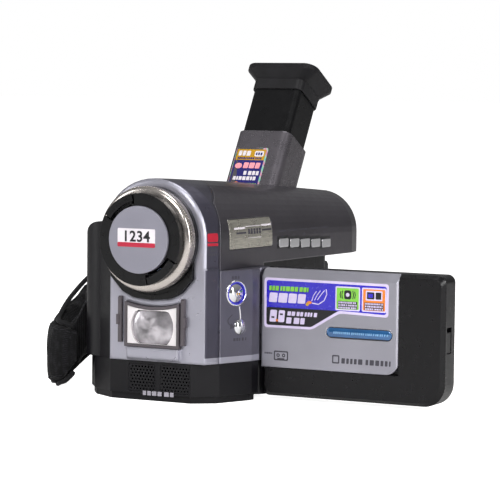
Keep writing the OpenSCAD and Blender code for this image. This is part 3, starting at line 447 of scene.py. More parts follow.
# Bare spark-eroded ABS: deep black with a fine matt grain.
BLACK = MouldedPlastic("moulded_abs_black", "#0D0C10", 0.4, specular=0.25, rub=0.15, rub_colour="#77757C")
# Finer moulded ABS of the monitor's frame: smoother, with soft reflections.
FRAME_BLACK = MouldedPlastic("moulded_abs_panel_black", "#0B0A0D", 0.3, specular=0.3, rub=0.15,
    grain_depth=0.006, rub_colour="#77757C")
# Satin ABS of tube, cap and collar: black with a narrow sheen.
SATIN = MouldedPlastic("moulded_abs_satin_black", "#08080A", 0.3, specular=0.3, rub=0.2, grain_depth=0.006,
    rub_colour="#6E6C74")
# Grained polycarbonate: the flattest of the blacks.
BATTERY = MouldedPlastic("moulded_pc_battery_black", "#1D1D20", 0.5, grain_depth=0.02, rub_colour="#6E6C74")
# Moulded polystyrene of the cassette: plain mid grey.
TAPE_GREY = MouldedPlastic("moulded_ps_cassette_grey", "#4E4F55", 0.45)
# Brownish ABS round the lamp: reads warm beside the silver.
LAMP_TRIM = MouldedPlastic("moulded_abs_lamp_brown", "#4C464B", 0.42, rub_colour="#8D878C")
# Painted disc of the lens cap: a cool grey with a broad, weak gloss.
CAP_GREY = MetallicPaint("painted_abs_cap_grey", "#8A8995", 0.34, 0.4, coat=0.3, coat_rough=0.25,
    grain_depth=0.008)
# Anodised aluminium: warm silver with bright ridges.
KNURL = DrawnMetal("anodised_aluminium_warm", "#C4BDB8", 0.24, 1.0, streak=0.06)
# Chrome plate on ABS: mirror reflections with faint smudges.
CHROME = DrawnMetal("plated_abs_chrome", "#E2E2E6", 0.08, 1.0, streak=0.02, depth=0.0005)
# Vacuum-coated bowl: mirror with a hammered ripple.
REFLECTOR = DrawnMetal("vacuum_coated_reflector", "#DAD8DA", 0.12, 1.0, streak=0.03, depth=0.01, streak_mm=2.0)
# Brushed anodised aluminium: pale gold with streaks along its length.
CHAMPAGNE = DrawnMetal("brushed_aluminium_champagne", "#C2BEB3", 0.3, 0.85, stretch=Stretch.ALONG_Y,
    streak=0.22)
# Rolled sheet steel: dull grey with drawn lines.
STEEL = DrawnMetal("rolled_steel", "#A9ABAF", 0.32, 1.0, stretch=Stretch.ALONG_Y)
# Blackened steel: dark heads with a metal glint.
SCREW = DrawnMetal("blackened_steel", "#5A5A5E", 0.35, 1.0)
# Turned brass: the one yellow metal, under the base.
BRASS = DrawnMetal("turned_brass", "#C9A25E", 0.28, 1.0)
# Lapped aluminium head drum: polished with turning lines.
DRUM = DrawnMetal("lapped_aluminium_drum", "#CBCDD2", 0.12, 1.0, stretch=Stretch.ALONG_X)
# Coated optical glass: clear with a cold violet-blue cast.
GLASS = ClearLens("coated_optical_glass", "#DDE4F5", 0.0, coat=1.0, coat_rough=0.0, ior=1.6)
# Quartz glass: clear and slightly warm.
BULB = ClearLens("quartz_bulb_glass", "#FFFBEF", 0.02, ior=1.46, through=0.85)
# Frosted polycarbonate: milky white, hiding the bulb.
FROSTED = ClearLens("frosted_polycarbonate", "#F1ECEE", 0.42, ior=1.58, through=0.22)
# Display glass: black until lit, with sharp reflections.
SCREEN = Gloss("lcd_glass", "#0B0E14", 0.06, coat=1.0, coat_rough=0.02, drift=0.2)
# Tinted acrylic: deep blue under a clear gloss.
BADGE_BLUE = Gloss("tinted_acrylic_blue", "#24598C", 0.12, 0.25, coat=1.0, coat_rough=0.03, drift=0.15)
# Tinted acrylic: saturated violet-blue round the button.
RING_BLUE = Gloss("tinted_acrylic_violet_blue", "#3A37C4", 0.1, 0.2, coat=1.0, coat_rough=0.03)
# Moulded elastomer of the eyecup: matt with a dusty bloom.
RUBBER = Rubber("moulded_rubber_black", "#0B0A0D", 0.5, specular=0.22, bloom=0.12)
# Woven nylon on the hand pad: drawn with threads coarse enough to show.
PAD_CLOTH = Woven("woven_nylon_pad_black", "#060607", 0.85, warp_mm=1.3, weft_mm=1.0, thread="#17161A",
    specular=0.2)
# Nylon webbing: tighter, ribbed and slightly shinier.
WEB_CLOTH = Woven("woven_nylon_webbing_black", "#09090B", 0.7, warp_mm=2.2, weft_mm=1.1, thread="#1D1C21",
    depth=0.3, specular=0.2)
# Green circuit board: solder mask with faint tracks.
BOARD = CircuitBoard("glass_epoxy_board", "#1A4A2E", 0.4, coat=0.3)
# Label paper under film: off-white with a mild gloss.
PAPER_WHITE = Gloss("label_paper_white", "#DCD6DC", 0.4)
# Crimson label ink.
PAPER_CRIMSON = Gloss("label_ink_crimson", "#B01C38", 0.35)
# Black ink of labels and key slots.
INK_BLACK = Gloss("label_ink_black", "#121116", 0.35)
# Saturated blue ink of the monitor's label.
INK_BLUE = Gloss("label_ink_blue", "#2418B4", 0.25, coat=0.5)
# Navy ink of the eyepiece's label.
INK_NAVY = Gloss("label_ink_navy", "#1D1A66", 0.25, coat=0.5)
# Pale lilac ink that borders the label's fields.
INK_LILAC = Gloss("label_ink_lilac", "#CFC3E2", 0.25, coat=0.5)
# Leaf green label ink.
INK_GREEN = Gloss("label_ink_green", "#7BC23E", 0.25, coat=0.5)
# Orange label ink.
INK_ORANGE = Gloss("label_ink_orange", "#DF7A22", 0.25, coat=0.5)
# Olive gold label ink.
INK_OLIVE = Gloss("label_ink_olive", "#B78A12", 0.25, coat=0.5)
# Pink label ink.
INK_PINK = Gloss("label_ink_pink", "#F09AA4", 0.25, coat=0.5)
# Dark pad print on painted shells.
INK_GREY = Gloss("pad_print_grey", "#3B3942", 0.4)
# Pale pad print on black ABS.
INK_PALE = Gloss("pad_print_pale", "#9C98A2", 0.4)
# Faint bars on the display plate.
INK_TAUPE = Gloss("pad_print_taupe", "#8B8780", 0.4)
# Red pad print beside the lens.
INK_RED = Gloss("pad_print_red", "#A8102A", 0.4)
# Violet dot on the side button.
INK_VIOLET = Gloss("label_ink_violet", "#3F3C8C", 0.25, coat=0.5)
# Nylon sewing thread: a shade lighter than the pad.
THREAD = Rubber("nylon_thread_black", "#1A191D", 0.6, specular=0.2)
# Grosgrain edge binding: dull black cord round the pad.
BINDING = Rubber("grosgrain_binding_black", "#09090B", 0.75, specular=0.2, bloom=0.1)
# Pressed polycarbonate over the reflector: grey clouds under a gloss.
LAMP_LENS = Gloss("pressed_polycarbonate", "#A5A1A6", 0.2, 0.55, coat=0.7, coat_rough=0.06, drift=0.45,
    fleck_mm=1.3)
# Diffraction foil: a thin border of shifting pale hues.
FOIL = FoilPrint("diffraction_foil", "#CFC4F0", 0.22, 0.5, coat=0.6)

SLOT_FINISH: dict[str, Finish] = {
    "silver_paint": SILVER, "gunmetal_paint": GUNMETAL, "side_paint": SIDE, "black_plastic": BLACK,
    "satin_black": SATIN, "knurl_silver": KNURL, "cap_grey": CAP_GREY, "glass": GLASS, "frosted": FROSTED,
    "chrome": CHROME, "lamp_trim": LAMP_TRIM, "bulb": BULB, "brass": BRASS, "champagne": CHAMPAGNE,
    "blue_ring": RING_BLUE, "blue_badge": BADGE_BLUE, "screen": SCREEN, "post_grey": POST, "steel": STEEL,
    "drum": DRUM, "board": BOARD, "cassette_grey": TAPE_GREY, "battery_black": BATTERY, "rubber": RUBBER,
    "sleeve_grey": SLEEVE, "strap_fabric": PAD_CLOTH, "webbing": WEB_CLOTH, "screw_steel": SCREW,
}
# The lens front: silver, with the band behind it masked off in slate.
BEZEL = ZonedSecondTone(
    "painted_abs_bezel_masked", "#A9A8B4", 0.32, 0.75, edge_mm=2.2, coat=0.25, coat_rough=0.18, second="#4B4956",
    zones=((("Y", 1, -47.8), ("Z", 1, 20.8)), (("Y", 1, -48.9), ("X", 1, 26.7), ("Z", -1, 60.0), ("Z", 1, 20.8))),
)
# The side wall: slate, with a painted highlight in silver along its foot, where its bottom fillet catches the light.
SIDE_FOOT_HIGHLIGHT = ZonedSecondTone(
    "painted_abs_side_foot_highlight", "#5F5D69", 0.36, 0.7, edge_mm=1.2, coat=0.2, coat_rough=0.2, second="#A9A8B4",
    zones=((("Z", -1, 20.8),),),
)
NODE_FINISH: dict[str, Finish] = {
    "lcd_cover": PANEL_SILVER, "lcd_frame": FRAME_BLACK, "light_reflector": REFLECTOR, "front_bezel": BEZEL,
    "side_cover": SIDE_FOOT_HIGHLIGHT,
}


def paint_nodes() -> None:
    """Gives every CAD node the finish of its material slot, or its own where it has one."""
    for name, node in frame["nodes"].items():
        for held in node.material_slots:
            held.material = NODE_FINISH.get(name, SLOT_FINISH[held.material.name.split(".")[0]]).material()


def seat(piece: bpy.types.Object, body: str, slot: str, *stands_for: str) -> bpy.types.Object:
    """Ties a finished piece to its body and hides the CAD nodes that it stands for.

    Args:
        piece: the piece, in place.
        body: the CAD body that carries it.
        slot: the record's material slot; not used.
        stands_for: names of CAD nodes that it replaces.

    Returns:
        The piece.
    """
    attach(piece, body)
    if stands_for:
        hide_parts(*stands_for)
    LOG.info("%s on %s: %d faces", piece.name, body, len(piece.data.polygons))
    return piece


def make_mesh(name: str, points: Iterable[Point], faces: Iterable[Sequence[int]], finishes: Sequence[Finish],
              marks: Sequence[int] | None = None) -> bpy.types.Object:
    """Makes an object from points in millimetres.

    Args:
        name: the object's name.
        points: corner points.
        faces: corner indices of each face.
        finishes: the finishes that the faces use.
        marks: which finish each face takes; the first by default.

    Returns:
        The object, linked to the scene.
    """
    mesh = bpy.data.meshes.new(name)
    mesh.from_pydata([[c * M for c in p] for p in points], [], list(faces))
    for finish in finishes:
        mesh.materials.append(finish.material())
    if marks is not None:
        mesh.polygons.foreach_set("material_index", list(marks))
    mesh.update()
    made = bpy.data.objects.new(name, mesh)
    bpy.context.scene.collection.objects.link(made)
    return made


def smooth(piece: bpy.types.Object, angle: float = 30.0) -> None:
    """Shades a piece smooth across edges flatter than an angle in degrees."""
    mesh = piece.data
    mesh.polygons.foreach_set("use_smooth", [True] * len(mesh.polygons))
    mesh.set_sharp_from_angle(angle=math.radians(angle))


def tidy(piece: bpy.types.Object) -> None:
    """Merges a piece's doubles and turns its faces outwards."""
    work = bmesh.new()
    work.from_mesh(piece.data)
    bmesh.ops.remove_doubles(work, verts=work.verts, dist=0.002 * M)
    bmesh.ops.recalc_face_normals(work, faces=work.faces)
    work.to_mesh(piece.data)
    work.free()


def baked(piece: bpy.types.Object, name: str) -> bpy.types.Object:
    """Turns a piece with its modifiers to a plain mesh object.

    Args:
        piece: the piece; it is removed.
        name: the result's name.

    Returns:
        The plain object at the origin.
    """
    bpy.context.view_layer.update()
    graph = bpy.context.evaluated_depsgraph_get()
    mesh = bpy.data.meshes.new_from_object(piece.evaluated_get(graph))
    bpy.data.objects.remove(piece)
    mesh.name = name
    made = bpy.data.objects.new(name, mesh)
    bpy.context.scene.collection.objects.link(made)
    return made


@dataclass
class Sheet:
    """A thin printed layer on a flat face: shapes are laid on it, each a hair above the last.

    Attributes:
        name: the finished piece's name.
        origin: where the sheet's own (0, 0) lies, in millimetres.
        right: direction of the sheet's X.
        up: direction of the sheet's Y.
        lift: height of one layer.
    """

    name: str
    origin: Point
    right: Point
    up: Point
    lift: float = 0.03
    points: list = field(default_factory=list)
    faces: list = field(default_factory=list)
    marks: list = field(default_factory=list)
    inks: list = field(default_factory=list)

    def shape(self, outline: Sequence[Point], ink: Finish, layer: int = 1) -> None:
        """Lays one flat shape with its side wall.

        Args:
            outline: corners in the sheet's plane, anticlockwise.
            ink: its finish.
            layer: how many layers up its top lies.
        """
        right, up = Vector(self.right).normalized(), Vector(self.up).normalized()
        out = right.cross(up)
        if ink not in self.inks:
            self.inks.append(ink)
        area = sum(a[0] * b[1] - b[0] * a[1] for a, b in zip(outline, [*outline[1:], outline[0]]))
        ring = list(outline) if area > 0 else list(outline)[::-1]
        start, count = len(self.points), len(ring)
        for height in (layer * self.lift, -0.05):
            self.points += [Vector(self.origin) + right * x + up * y + out * height for x, y in ring]
        self.faces.append(list(range(start, start + count)))
        self.faces.append([start + count + i for i in reversed(range(count))])
        for i in range(count):
            j = (i + 1) % count
            self.faces.append([start + j, start + i, start + count + i, start + count + j])
        self.marks += [self.inks.index(ink)] * (count + 2)

    def box(self, low: Point, high: Point, ink: Finish, layer: int = 1, radius: float = 0.0,
            slant: float = 0.0) -> None:
        """Lays a rectangle, round-cornered or slanted.

        Args:
            low: its lower left corner.
            high: its upper right corner.
            ink: its finish.
            layer: how many layers up.
            radius: corner radius.
            slant: how far its top leans to the right.
        """
        (x0, y0), (x1, y1) = low, high
        radius = min(radius, (x1 - x0) / 2, (y1 - y0) / 2)
        corners = [(x1 - radius, y1 - radius, 0), (x0 + radius, y1 - radius, 90), (x0 + radius, y0 + radius, 180),
                   (x1 - radius, y0 + radius, 270)]
        steps = 5 if radius > 0 else 1
        ring = []
        for x, y, turn in corners:
            for k in range(steps):
                angle = math.radians(turn + (90 * k / (steps - 1) if steps > 1 else 0))
                px, py = x + radius * math.cos(angle), y + radius * math.sin(angle)
                ring.append((px + slant * (py - y0) / (y1 - y0), py))
        self.shape(ring, ink, layer)

    def disc(self, centre: Point, radius: float, ink: Finish, layer: int = 1, count: int = 20,
             squeeze: float = 1.0) -> None:
        """Lays a disc, or an oval where `squeeze` isn't 1."""
        turn = [2 * math.pi * k / count for k in range(count)]
        ring = [(centre[0] + radius * math.cos(t), centre[1] + radius * squeeze * math.sin(t)) for t in turn]
        self.shape(ring, ink, layer)

    def blocks(self, low: Point, high: Point, ink: Finish, layer: int, seed: int, slant: float = 0.0,
               gap: float = 0.28, wide: Point = (0.45, 0.95)) -> None:
        """Lays a line of plain blocks where a real label has words, so that nothing can be read.

        Args:
            low: lower left corner of the line.
            high: upper right corner of the line.
            ink: the finish.
            layer: how many layers up.
            seed: picks the blocks' widths.
            slant: how far each block leans.
            gap: space between blocks against the line's height.
            wide: narrowest and widest block against the line's height.
        """
        rng = random.Random(seed)
        tall = high[1] - low[1]
        x = low[0]
        while x < high[0] - tall * 0.3:
            end = min(x + tall * rng.uniform(*wide), high[0])
            self.box((x, low[1]), (end, high[1]), ink, layer, tall * 0.12, slant)
            x = end + tall * gap * (2.2 if rng.random() < 0.16 else 1.0)

    def stroke(self, path: Sequence[Point], width: float, ink: Finish, layer: int = 1) -> None:
        """Lays a line of even width along a path of points."""
        for a, b in zip(path, path[1:]):
            along = Vector((b[0] - a[0], b[1] - a[1]))
            if along.length < 1e-6:
                continue
            along.normalize()
            side = Vector((-along.y, along.x)) * width / 2
            tip = along * width * 0.3
            corners = [Vector(a) - side - tip, Vector(b) - side + tip, Vector(b) + side + tip, Vector(a) + side - tip]
            self.shape([(c.x, c.y) for c in corners], ink, layer)

    def done(self, body: str, slot: str, onto: Callable[[Vector], Vector] | None = None) -> bpy.types.Object:
        """Makes the sheet's mesh and seats it.

        Args:
            body: the CAD body that carries it.
            slot: the record's material slot.
            onto: moves each point from the flat sheet to a curved face.

        Returns:
            The piece.
        """
        points = [onto(Vector(p)) for p in self.points] if onto else self.points
        return seat(make_mesh(self.name, points, self.faces, self.inks, self.marks), body, slot)


@dataclass
class Studio:
    """The floor, the soft lights and the camera round the object."""

    target: Point = (35.88, -24.0, 68.13)
    azimuth: float = 27.775
    elevation: float = 3.913
    distance: float = 1077.4
    roll: float = 0.598
    lens: float = 172.78
    floor_size: float = 40000.0
    floor_glow: float = 0.9
    sky: float = 0.2

    def build(self) -> None:
        """Makes the whole studio."""
        self.camera()
        self.floor()
        scene = bpy.context.scene
        scene.view_settings.view_transform = "Standard"
        world = bpy.data.worlds.new("soft_room")
        world.use_nodes = True
        tree = world.node_tree
        tree.nodes["Background"].inputs[0].default_value = (1, 1, 1, 1)
        seen = add(tree, "ShaderNodeLightPath").outputs["Is Camera Ray"]
        aim = add(tree, "ShaderNodeTexCoord").outputs["Generated"]
        height = add(tree, "ShaderNodeSeparateXYZ", {0: aim}).outputs["Z"]
        room = add(tree, "ShaderNodeMapRange", {
            "Value": height, "From Min": -0.2, "To Min": self.sky * 0.3, "To Max": self.sky * 2,
        }).outputs[0]
        glow = add(tree, "ShaderNodeMapRange", {"Value": seen, "To Min": room, "To Max": 1.0}).outputs[0]
        tree.links.new(glow, tree.nodes["Background"].inputs[1])
        scene.world = world
        self.softbox("key_box", (150, -900, 700), 420, 260, 6.0)
        self.softbox("side_strip", (900, -420, 330), 120, 620, 5.0)
        self.softbox("fill_box", (-760, -620, 330), 260, 620, 3.0)
        self.softbox("top_box", (120, 160, 900), 420, 420, 3.0)

    def camera(self) -> None:
        """Puts the camera on its sight line, rolled a little."""
        az, el, turn = (math.radians(a) for a in (self.azimuth, self.elevation, self.roll))
        back = Vector((math.sin(az) * math.cos(el), -math.cos(az) * math.cos(el), math.sin(el)))
        flat = Vector((math.cos(az), math.sin(az), 0))
        over = back.cross(flat)
        right = flat * math.cos(turn) + over * math.sin(turn)
        up = over * math.cos(turn) - flat * math.sin(turn)
        data = bpy.data.cameras.new("camera")
        data.lens, data.sensor_width = self.lens, 36.0
        data.clip_start, data.clip_end = 0.05, 100.0
        made = bpy.data.objects.new("camera", data)
        bpy.context.scene.collection.objects.link(made)
        place = Matrix((right, up, back)).transposed().to_4x4()
        place.translation = (Vector(self.target) + back * self.distance) * M
        made.matrix_world = place
        bpy.context.scene.camera = made

    def floor(self) -> None:
        """Lays the pale floor under the object."""
        half = self.floor_size / 2
        base = Gloss("matt_white_paper", "#F4F3F2", 0.85, fleck_mm=40.0, drift=0.004)
        corners = [(-half, -half, 0), (half, -half, 0), (half, half, 0), (-half, half, 0)]
        sheet = make_mesh("floor", corners, [(0, 1, 2, 3)], [base])
        tree = base.material().node_tree
        shader = next(n for n in tree.nodes if n.type == "BSDF_PRINCIPLED")
        seen = add(tree, "ShaderNodeLightPath").outputs["Is Camera Ray"]
        shader.inputs["Emission Color"].default_value = (1, 1, 1, 1)
        tree.links.new(add(tree, "ShaderNodeMath", {0: seen, 1: self.floor_glow}, operation="MULTIPLY").outputs[0],
                       shader.inputs["Emission Strength"])

    def softbox(self, name: str, where: Point, wide: float, tall: float, power: float) -> None:
        """Hangs a rectangular soft light that looks at the object.

        Args:
            name: its name.
            where: its centre.
            wide: its width.
            tall: its height.
            power: its output in watts.
        """
        data = bpy.data.lights.new(name, "AREA")
        data.shape, data.size, data.size_y, data.energy = "RECTANGLE", wide * M, tall * M, power
        made = bpy.data.objects.new(name, data)
        bpy.context.scene.collection.objects.link(made)
        aim = (Vector(self.target) - Vector(where)).to_track_quat("-Z", "Y")
        made.matrix_world = Matrix.Translation(Vector(where) * M) @ aim.to_matrix().to_4x4()


class Ribbing:
    """A Geometry Nodes tree that stands small wedges on a ring about the lens axis."""

    SOCKETS = (("Count", "NodeSocketInt"), ("Radius", "NodeSocketFloat"), ("Along", "NodeSocketFloat"),
               ("Size", "NodeSocketVector"), ("Cone", "NodeSocketFloat"), ("Slant", "NodeSocketFloat"))

    def __init__(self, name: str, finish: Finish) -> None:
        """Builds the tree.

        Args:
            name: the tree's name.
            finish: what the wedges are made of.
        """
        self.tree = bpy.data.node_groups.new(name, "GeometryNodeTree")
        face = self.tree.interface
        face.new_socket("Geometry", in_out="INPUT", socket_type="NodeSocketGeometry")
        self.ids = {n: face.new_socket(n, in_out="INPUT", socket_type=k).identifier for n, k in self.SOCKETS}
        face.new_socket("Geometry", in_out="OUTPUT", socket_type="NodeSocketGeometry")
        tree, given = self.tree, add(self.tree, "NodeGroupInput").outputs
        ring = add(tree, "GeometryNodeMeshCircle", {"Vertices": given["Count"], "Radius": given["Radius"]}).outputs[0]
        shift = add(tree, "ShaderNodeCombineXYZ", {"Y": given["Along"]}).outputs[0]
        upright = add(tree, "GeometryNodeTransform", {"Geometry": ring, "Rotation": (math.pi / 2, 0, 0)}).outputs[0]
        wedge = add(tree, "GeometryNodeMeshCube", {"Size": given["Size"]}).outputs[0]
        here = add(tree, "GeometryNodeInputPosition").outputs[0]
        outward = add(tree, "FunctionNodeAlignRotationToVector", {"Vector": here}, axis="Z", pivot_axis="Y").outputs[0]
        lean = add(tree, "ShaderNodeCombineXYZ", {"X": given["Cone"], "Z": given["Slant"]}).outputs[0]
        spin = add(tree, "FunctionNodeEulerToRotation", {"Euler": lean}).outputs[0]
        facing = add(tree, "FunctionNodeRotateRotation", {"Rotation": outward, "Rotate By": spin},
                     rotation_space="LOCAL").outputs[0]
        stood = add(tree, "GeometryNodeInstanceOnPoints",
                    {"Points": upright, "Instance": wedge, "Rotation": facing}).outputs[0]
        moved = add(tree, "GeometryNodeTransform", {"Geometry": stood, "Translation": shift}).outputs[0]
        real = add(tree, "GeometryNodeRealizeInstances", {"Geometry": moved}).outputs[0]
        dressed = add(tree, "GeometryNodeSetMaterial", {"Geometry": real, "Material": finish.material()}).outputs[0]
        add(tree, "NodeGroupOutput", {"Geometry": dressed})

    def stand(self, name: str, height: float, values: dict[str, Any]) -> bpy.types.Object:
        """Runs the tree and gives the wedges as a plain mesh.

        Args:
            name: the piece's name.
            height: the axis height in millimetres.
            values: the tree's inputs, in millimetres and degrees.

        Returns:
            The plain piece.
        """
        host = bpy.data.objects.new(name + "_host", bpy.data.meshes.new(name + "_host"))
        bpy.context.scene.collection.objects.link(host)
        modifier = host.modifiers.new("ribbing", "NODES")
        modifier.node_group = self.tree
        for key, value in values.items():
            if key == "Size":
                value = [v * M for v in value]
            elif key in ("Cone", "Slant"):
                value = math.radians(value)
            elif key != "Count":
                value = value * M
            modifier[self.ids[key]] = value
        made = baked(host, name)
        made.data.transform(Matrix.Translation((0, 0, height * M)))
        return made


@dataclass
class LensEnd:
    """The cap, its label and the focus ring's knurling."""

    axis: float = 73.3
    face: float = -62.1
    ridge_count: int = 128

    def build(self) -> None:
        """Makes the lens end's own pieces."""
        self.knurl()
        self.label()

    def knurl(self) -> None:
        """Turns the ring's band and stands one row of slanted ridges round it."""
        section = [(19.0, 51.8), (23.2, 51.8), (23.4, 52.1), (23.4, 56.0), (22.9, 56.8), (21.6, 57.3), (19.0, 57.3)]
        band = ring_band("focus_band", (0, 0, self.axis), (0, -1, 0), section, KNURL, 96)
        seat(band, "focus", "knurl_silver", "focus_ring")
        tree = Ribbing("knurl_ridges", KNURL)
        row = {"Count": self.ridge_count, "Radius": 23.35, "Along": -54.0, "Size": (0.5, 3.5, 0.45), "Cone": 0.0,
               "Slant": 24.0}
        seat(tree.stand("focus_ridges", self.axis, row), "focus", "knurl_silver")

    def label(self) -> None:
        """Lays the number label: white paper, a crimson band and four plain numerals."""
        paper = Sheet("cap_label", (0, self.face, self.axis), (1, 0, 0), (0, 0, 1), lift=0.06)
        paper.box((-10.5, -3.3), (8.7, 4.9), PAPER_WHITE, 1, 0.5)
        paper.box((-10.5, -3.3), (8.7, -1.3), PAPER_CRIMSON, 2, 0.5)
        paper.done("cap", "cap_grey")
        letters = bpy.data.curves.new("cap_number", "FONT")
        letters.body, letters.size, letters.offset, letters.extrude = "1234", 6.6 * M, 0.16 * M, 0.03 * M
        letters.align_x, letters.space_character = "CENTER", 1.08
        holder = bpy.data.objects.new("cap_number_text", letters)
        bpy.context.scene.collection.objects.link(holder)
        made = baked(holder, "cap_number")
        made.data.transform(Matrix.Rotation(math.radians(90), 4, "X"))
        made.data.transform(Matrix.Translation((-0.9 * M, (self.face - 0.1) * M, (self.axis - 0.75) * M)))
        made.data.materials.clear()
        made.data.materials.append(INK_BLACK.material())
        seat(made, "cap", "cap_grey")


def eased(outline: Sequence[Point], radius: float, steps: int = 5) -> list[tuple[float, float]]:
    """Rounds every corner of a flat outline.

    Args:
        outline: its corners.
        radius: how far from the corner the curve starts.
        steps: points on each curve.

    Returns:
        The rounded outline.
    """
    ring = []
    for i, here in enumerate(outline):
        here, before, after = Vector(here), Vector(outline[i - 1]), Vector(outline[(i + 1) % len(outline)])
        start = here + (before - here).normalized() * min(radius, (before - here).length * 0.45)
        end = here + (after - here).normalized() * min(radius, (after - here).length * 0.45)
        for k in range(steps):
            t = k / (steps - 1)
            p = start * (1 - t) ** 2 + here * 2 * t * (1 - t) + end * t * t
            ring.append((p.x, p.y))
    return ring


@dataclass
class MonitorFace:
    """What shows on the monitor's silver cover: the label sheet, the blue bar and the printed marks."""

    face: float = -16.0

    def sheet(self, name: str, lift: float = 0.03) -> Sheet:
        """Gives a print sheet on the cover's front, in the model's own X and Z."""
        return Sheet(name, (0, self.face, 0), (1, 0, 0), (0, 0, 1), lift)

    def build(self) -> None:
        """Makes the face's pieces."""
        self.sticker()
        self.bar()
        self.marks()

    def sticker(self) -> None:
        """Lays the colour label with its fields, blocks and two small pictures."""
        s = self.sheet("panel_sticker")
        border = [(39.2, 55.5), (39.3, 33.0), (63.4, 33.1), (77.0, 41.1), (100.8, 40.4), (101.0, 55.2)]
        ground = [(40.4, 54.4), (40.5, 34.1), (63.0, 34.2), (76.7, 42.3), (99.7, 41.5), (99.9, 54.1)]
        s.shape(eased(border, 1.6), INK_LILAC, 1)
        s.shape(eased(ground, 1.2), INK_BLUE, 2)
        s.shape(eased([(40.4, 42.2), (40.5, 34.1), (63.0, 34.2), (76.5, 42.2)], 1.0), INK_BLACK, 3)
        s.blocks((41.9, 49.6), (61.6, 51.7), INK_BLACK, 3, 3, 0.2, gap=0.16)
        s.blocks((41.7, 49.8), (61.4, 51.9), INK_GREEN, 4, 3, 0.2, gap=0.16)
        s.blocks((41.6, 44.5), (59.8, 48.8), INK_LILAC, 3, 11, 0.5, gap=0.14, wide=(0.85, 1.05))
        for k, (x, z) in enumerate(((63.2, 46.0), (64.6, 46.4), (66.0, 46.6))):
            s.stroke([(x, z), (x + 0.8 + 0.5 * k, z + 2.4), (x + 2.2 + 0.6 * k, z + 4.3)], 0.35, INK_LILAC, 3)
        s.stroke([(63.5, 45.0), (66.5, 44.6), (69.3, 46.4), (70.6, 49.2), (70.3, 51.4)], 0.45, INK_LILAC, 3)
        s.disc((62.0, 45.2), 1.2, INK_ORANGE, 3, 14, 0.6)
        s.disc((61.0, 44.4), 0.8, INK_OLIVE, 4, 12)
        s.box((42.0, 35.6), (45.4, 41.0), INK_LILAC, 4, 0.6, 0.5)
        s.box((46.3, 35.6), (49.4, 41.0), INK_LILAC, 4, 0.6, 0.5)
        s.disc((45.8, 36.4), 0.6, INK_ORANGE, 5, 12)
        s.box((43.0, 37.3), (44.5, 38.1), INK_BLACK, 5)
        s.box((47.3, 38.8), (48.8, 39.6), INK_BLACK, 5)
        s.blocks((51.0, 38.8), (66.6, 40.7), INK_LILAC, 4, 23, 0.25, gap=0.2)
        s.blocks((50.4, 35.2), (59.6, 38.0), INK_LILAC, 4, 31, 0.3, gap=0.2, wide=(0.9, 1.1))
        for x0, x1, ink, seed in ((74.9, 87.0, INK_GREEN, 41), (87.9, 99.8, INK_ORANGE, 53)):
            s.box((x0, 42.5), (x1, 53.2), INK_LILAC, 3, 0.7)
            s.box((x0 + 0.6, 43.1), (x1 - 0.6, 52.6), ink, 4, 0.4)
            for row in range(3):
                low = 43.4 + 1.15 * row
                s.box((x0 + 1.3, low - 0.15), (x1 - 1.3, low + 0.95), INK_BLACK, 5, 0.2)
                s.blocks((x0 + 1.6, low), (x1 - 1.6, low + 0.75), INK_LILAC, 6, seed + row)
        s.box((79.2, 47.6), (82.7, 51.6), INK_BLACK, 5, 1.0)
        s.disc((80.95, 49.6), 0.9, INK_LILAC, 6, 14)
        for side in (-1, 1):
            for k in range(2):
                x = 80.95 + side * (2.5 + 0.9 * k)
                s.stroke([(x, 47.9 + 0.3 * k), (x + side * 0.35, 49.6), (x, 51.3 - 0.3 * k)], 0.4, INK_BLACK, 5)
        s.box((89.8, 47.6), (97.9, 51.9), INK_LILAC, 5, 0.4)
        s.box((90.4, 48.2), (94.0, 51.3), INK_BLACK, 6, 0.3)
        s.box((94.6, 48.2), (97.3, 51.3), INK_BLACK, 6, 0.3)
        s.box((91.0, 48.9), (93.3, 50.6), INK_BLUE, 7, 0.2)
        s.done("monitor", "silver_paint")

    def bar(self) -> None:
        """Makes the domed blue bar in place of the flat one, set on a bright chrome edge over a painted shadow in
        black, offset below and to the right of it.
        """
        low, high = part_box("lcd_badge")
        x0, x1, z0, z1 = (v / M for v in (low.x, high.x, low.z, high.z))
        mid_z, half = (z0 + z1) / 2, (z1 - z0) / 2
        profile = [(0.0, 0.55), (0.12, 0.0), (0.35, -0.2), (0.8, -0.36), (1.4, -0.45), (half - 0.05, -0.5)]
        count = 14
        points, faces = [], []
        for inset, rise in profile:
            for side, cx in ((1, x1 - half), (-1, x0 + half)):
                for k in range(count):
                    angle = math.radians(-90 + 180 * k / (count - 1)) + (0 if side > 0 else math.pi)
                    reach = half - inset
                    points.append((cx + reach * math.cos(angle), self.face + rise, mid_z + reach * math.sin(angle)))
        ring = 2 * count
        for level in range(len(profile) - 1):
            for k in range(ring):
                a, b = level * ring + k, level * ring + (k + 1) % ring
                faces.append((a, b, b + ring, a + ring))
        faces.append(tuple(range((len(profile) - 1) * ring, len(profile) * ring)))
        faces.append(tuple(reversed(range(ring))))
        dome = make_mesh("badge_bar", points, faces, [BADGE_BLUE])
        tidy(dome)
        smooth(dome, 50)
        seat(dome, "monitor", "blue_badge", "lcd_badge")
        rim_and_shadow = self.sheet("badge_rim_and_painted_shadow", 0.04)
        rim_and_shadow.box((x0 - 0.25, z0 - 0.35), (x1 + 0.25, z1 + 0.25), CHROME, 1, 2.6)
        # The black box is a painted shadow below and to the right of the raised bar.
        rim_and_shadow.box((x0 + 0.2, z0 - 0.35), (x1 + 0.15, z1 + 0.1), INK_BLACK, 2, 2.5)
        rim_and_shadow.done("monitor", "blue_badge")
        words = Sheet("badge_words", (0, self.face - 0.5, 0), (1, 0, 0), (0, 0, 1), 0.03)
        words.blocks((74.2, mid_z - 0.5), (101.0, mid_z + 0.45), Gloss("badge_print", "#6F9CC4", 0.3), 1, 61, 0.15)
        words.done("monitor", "blue_badge")

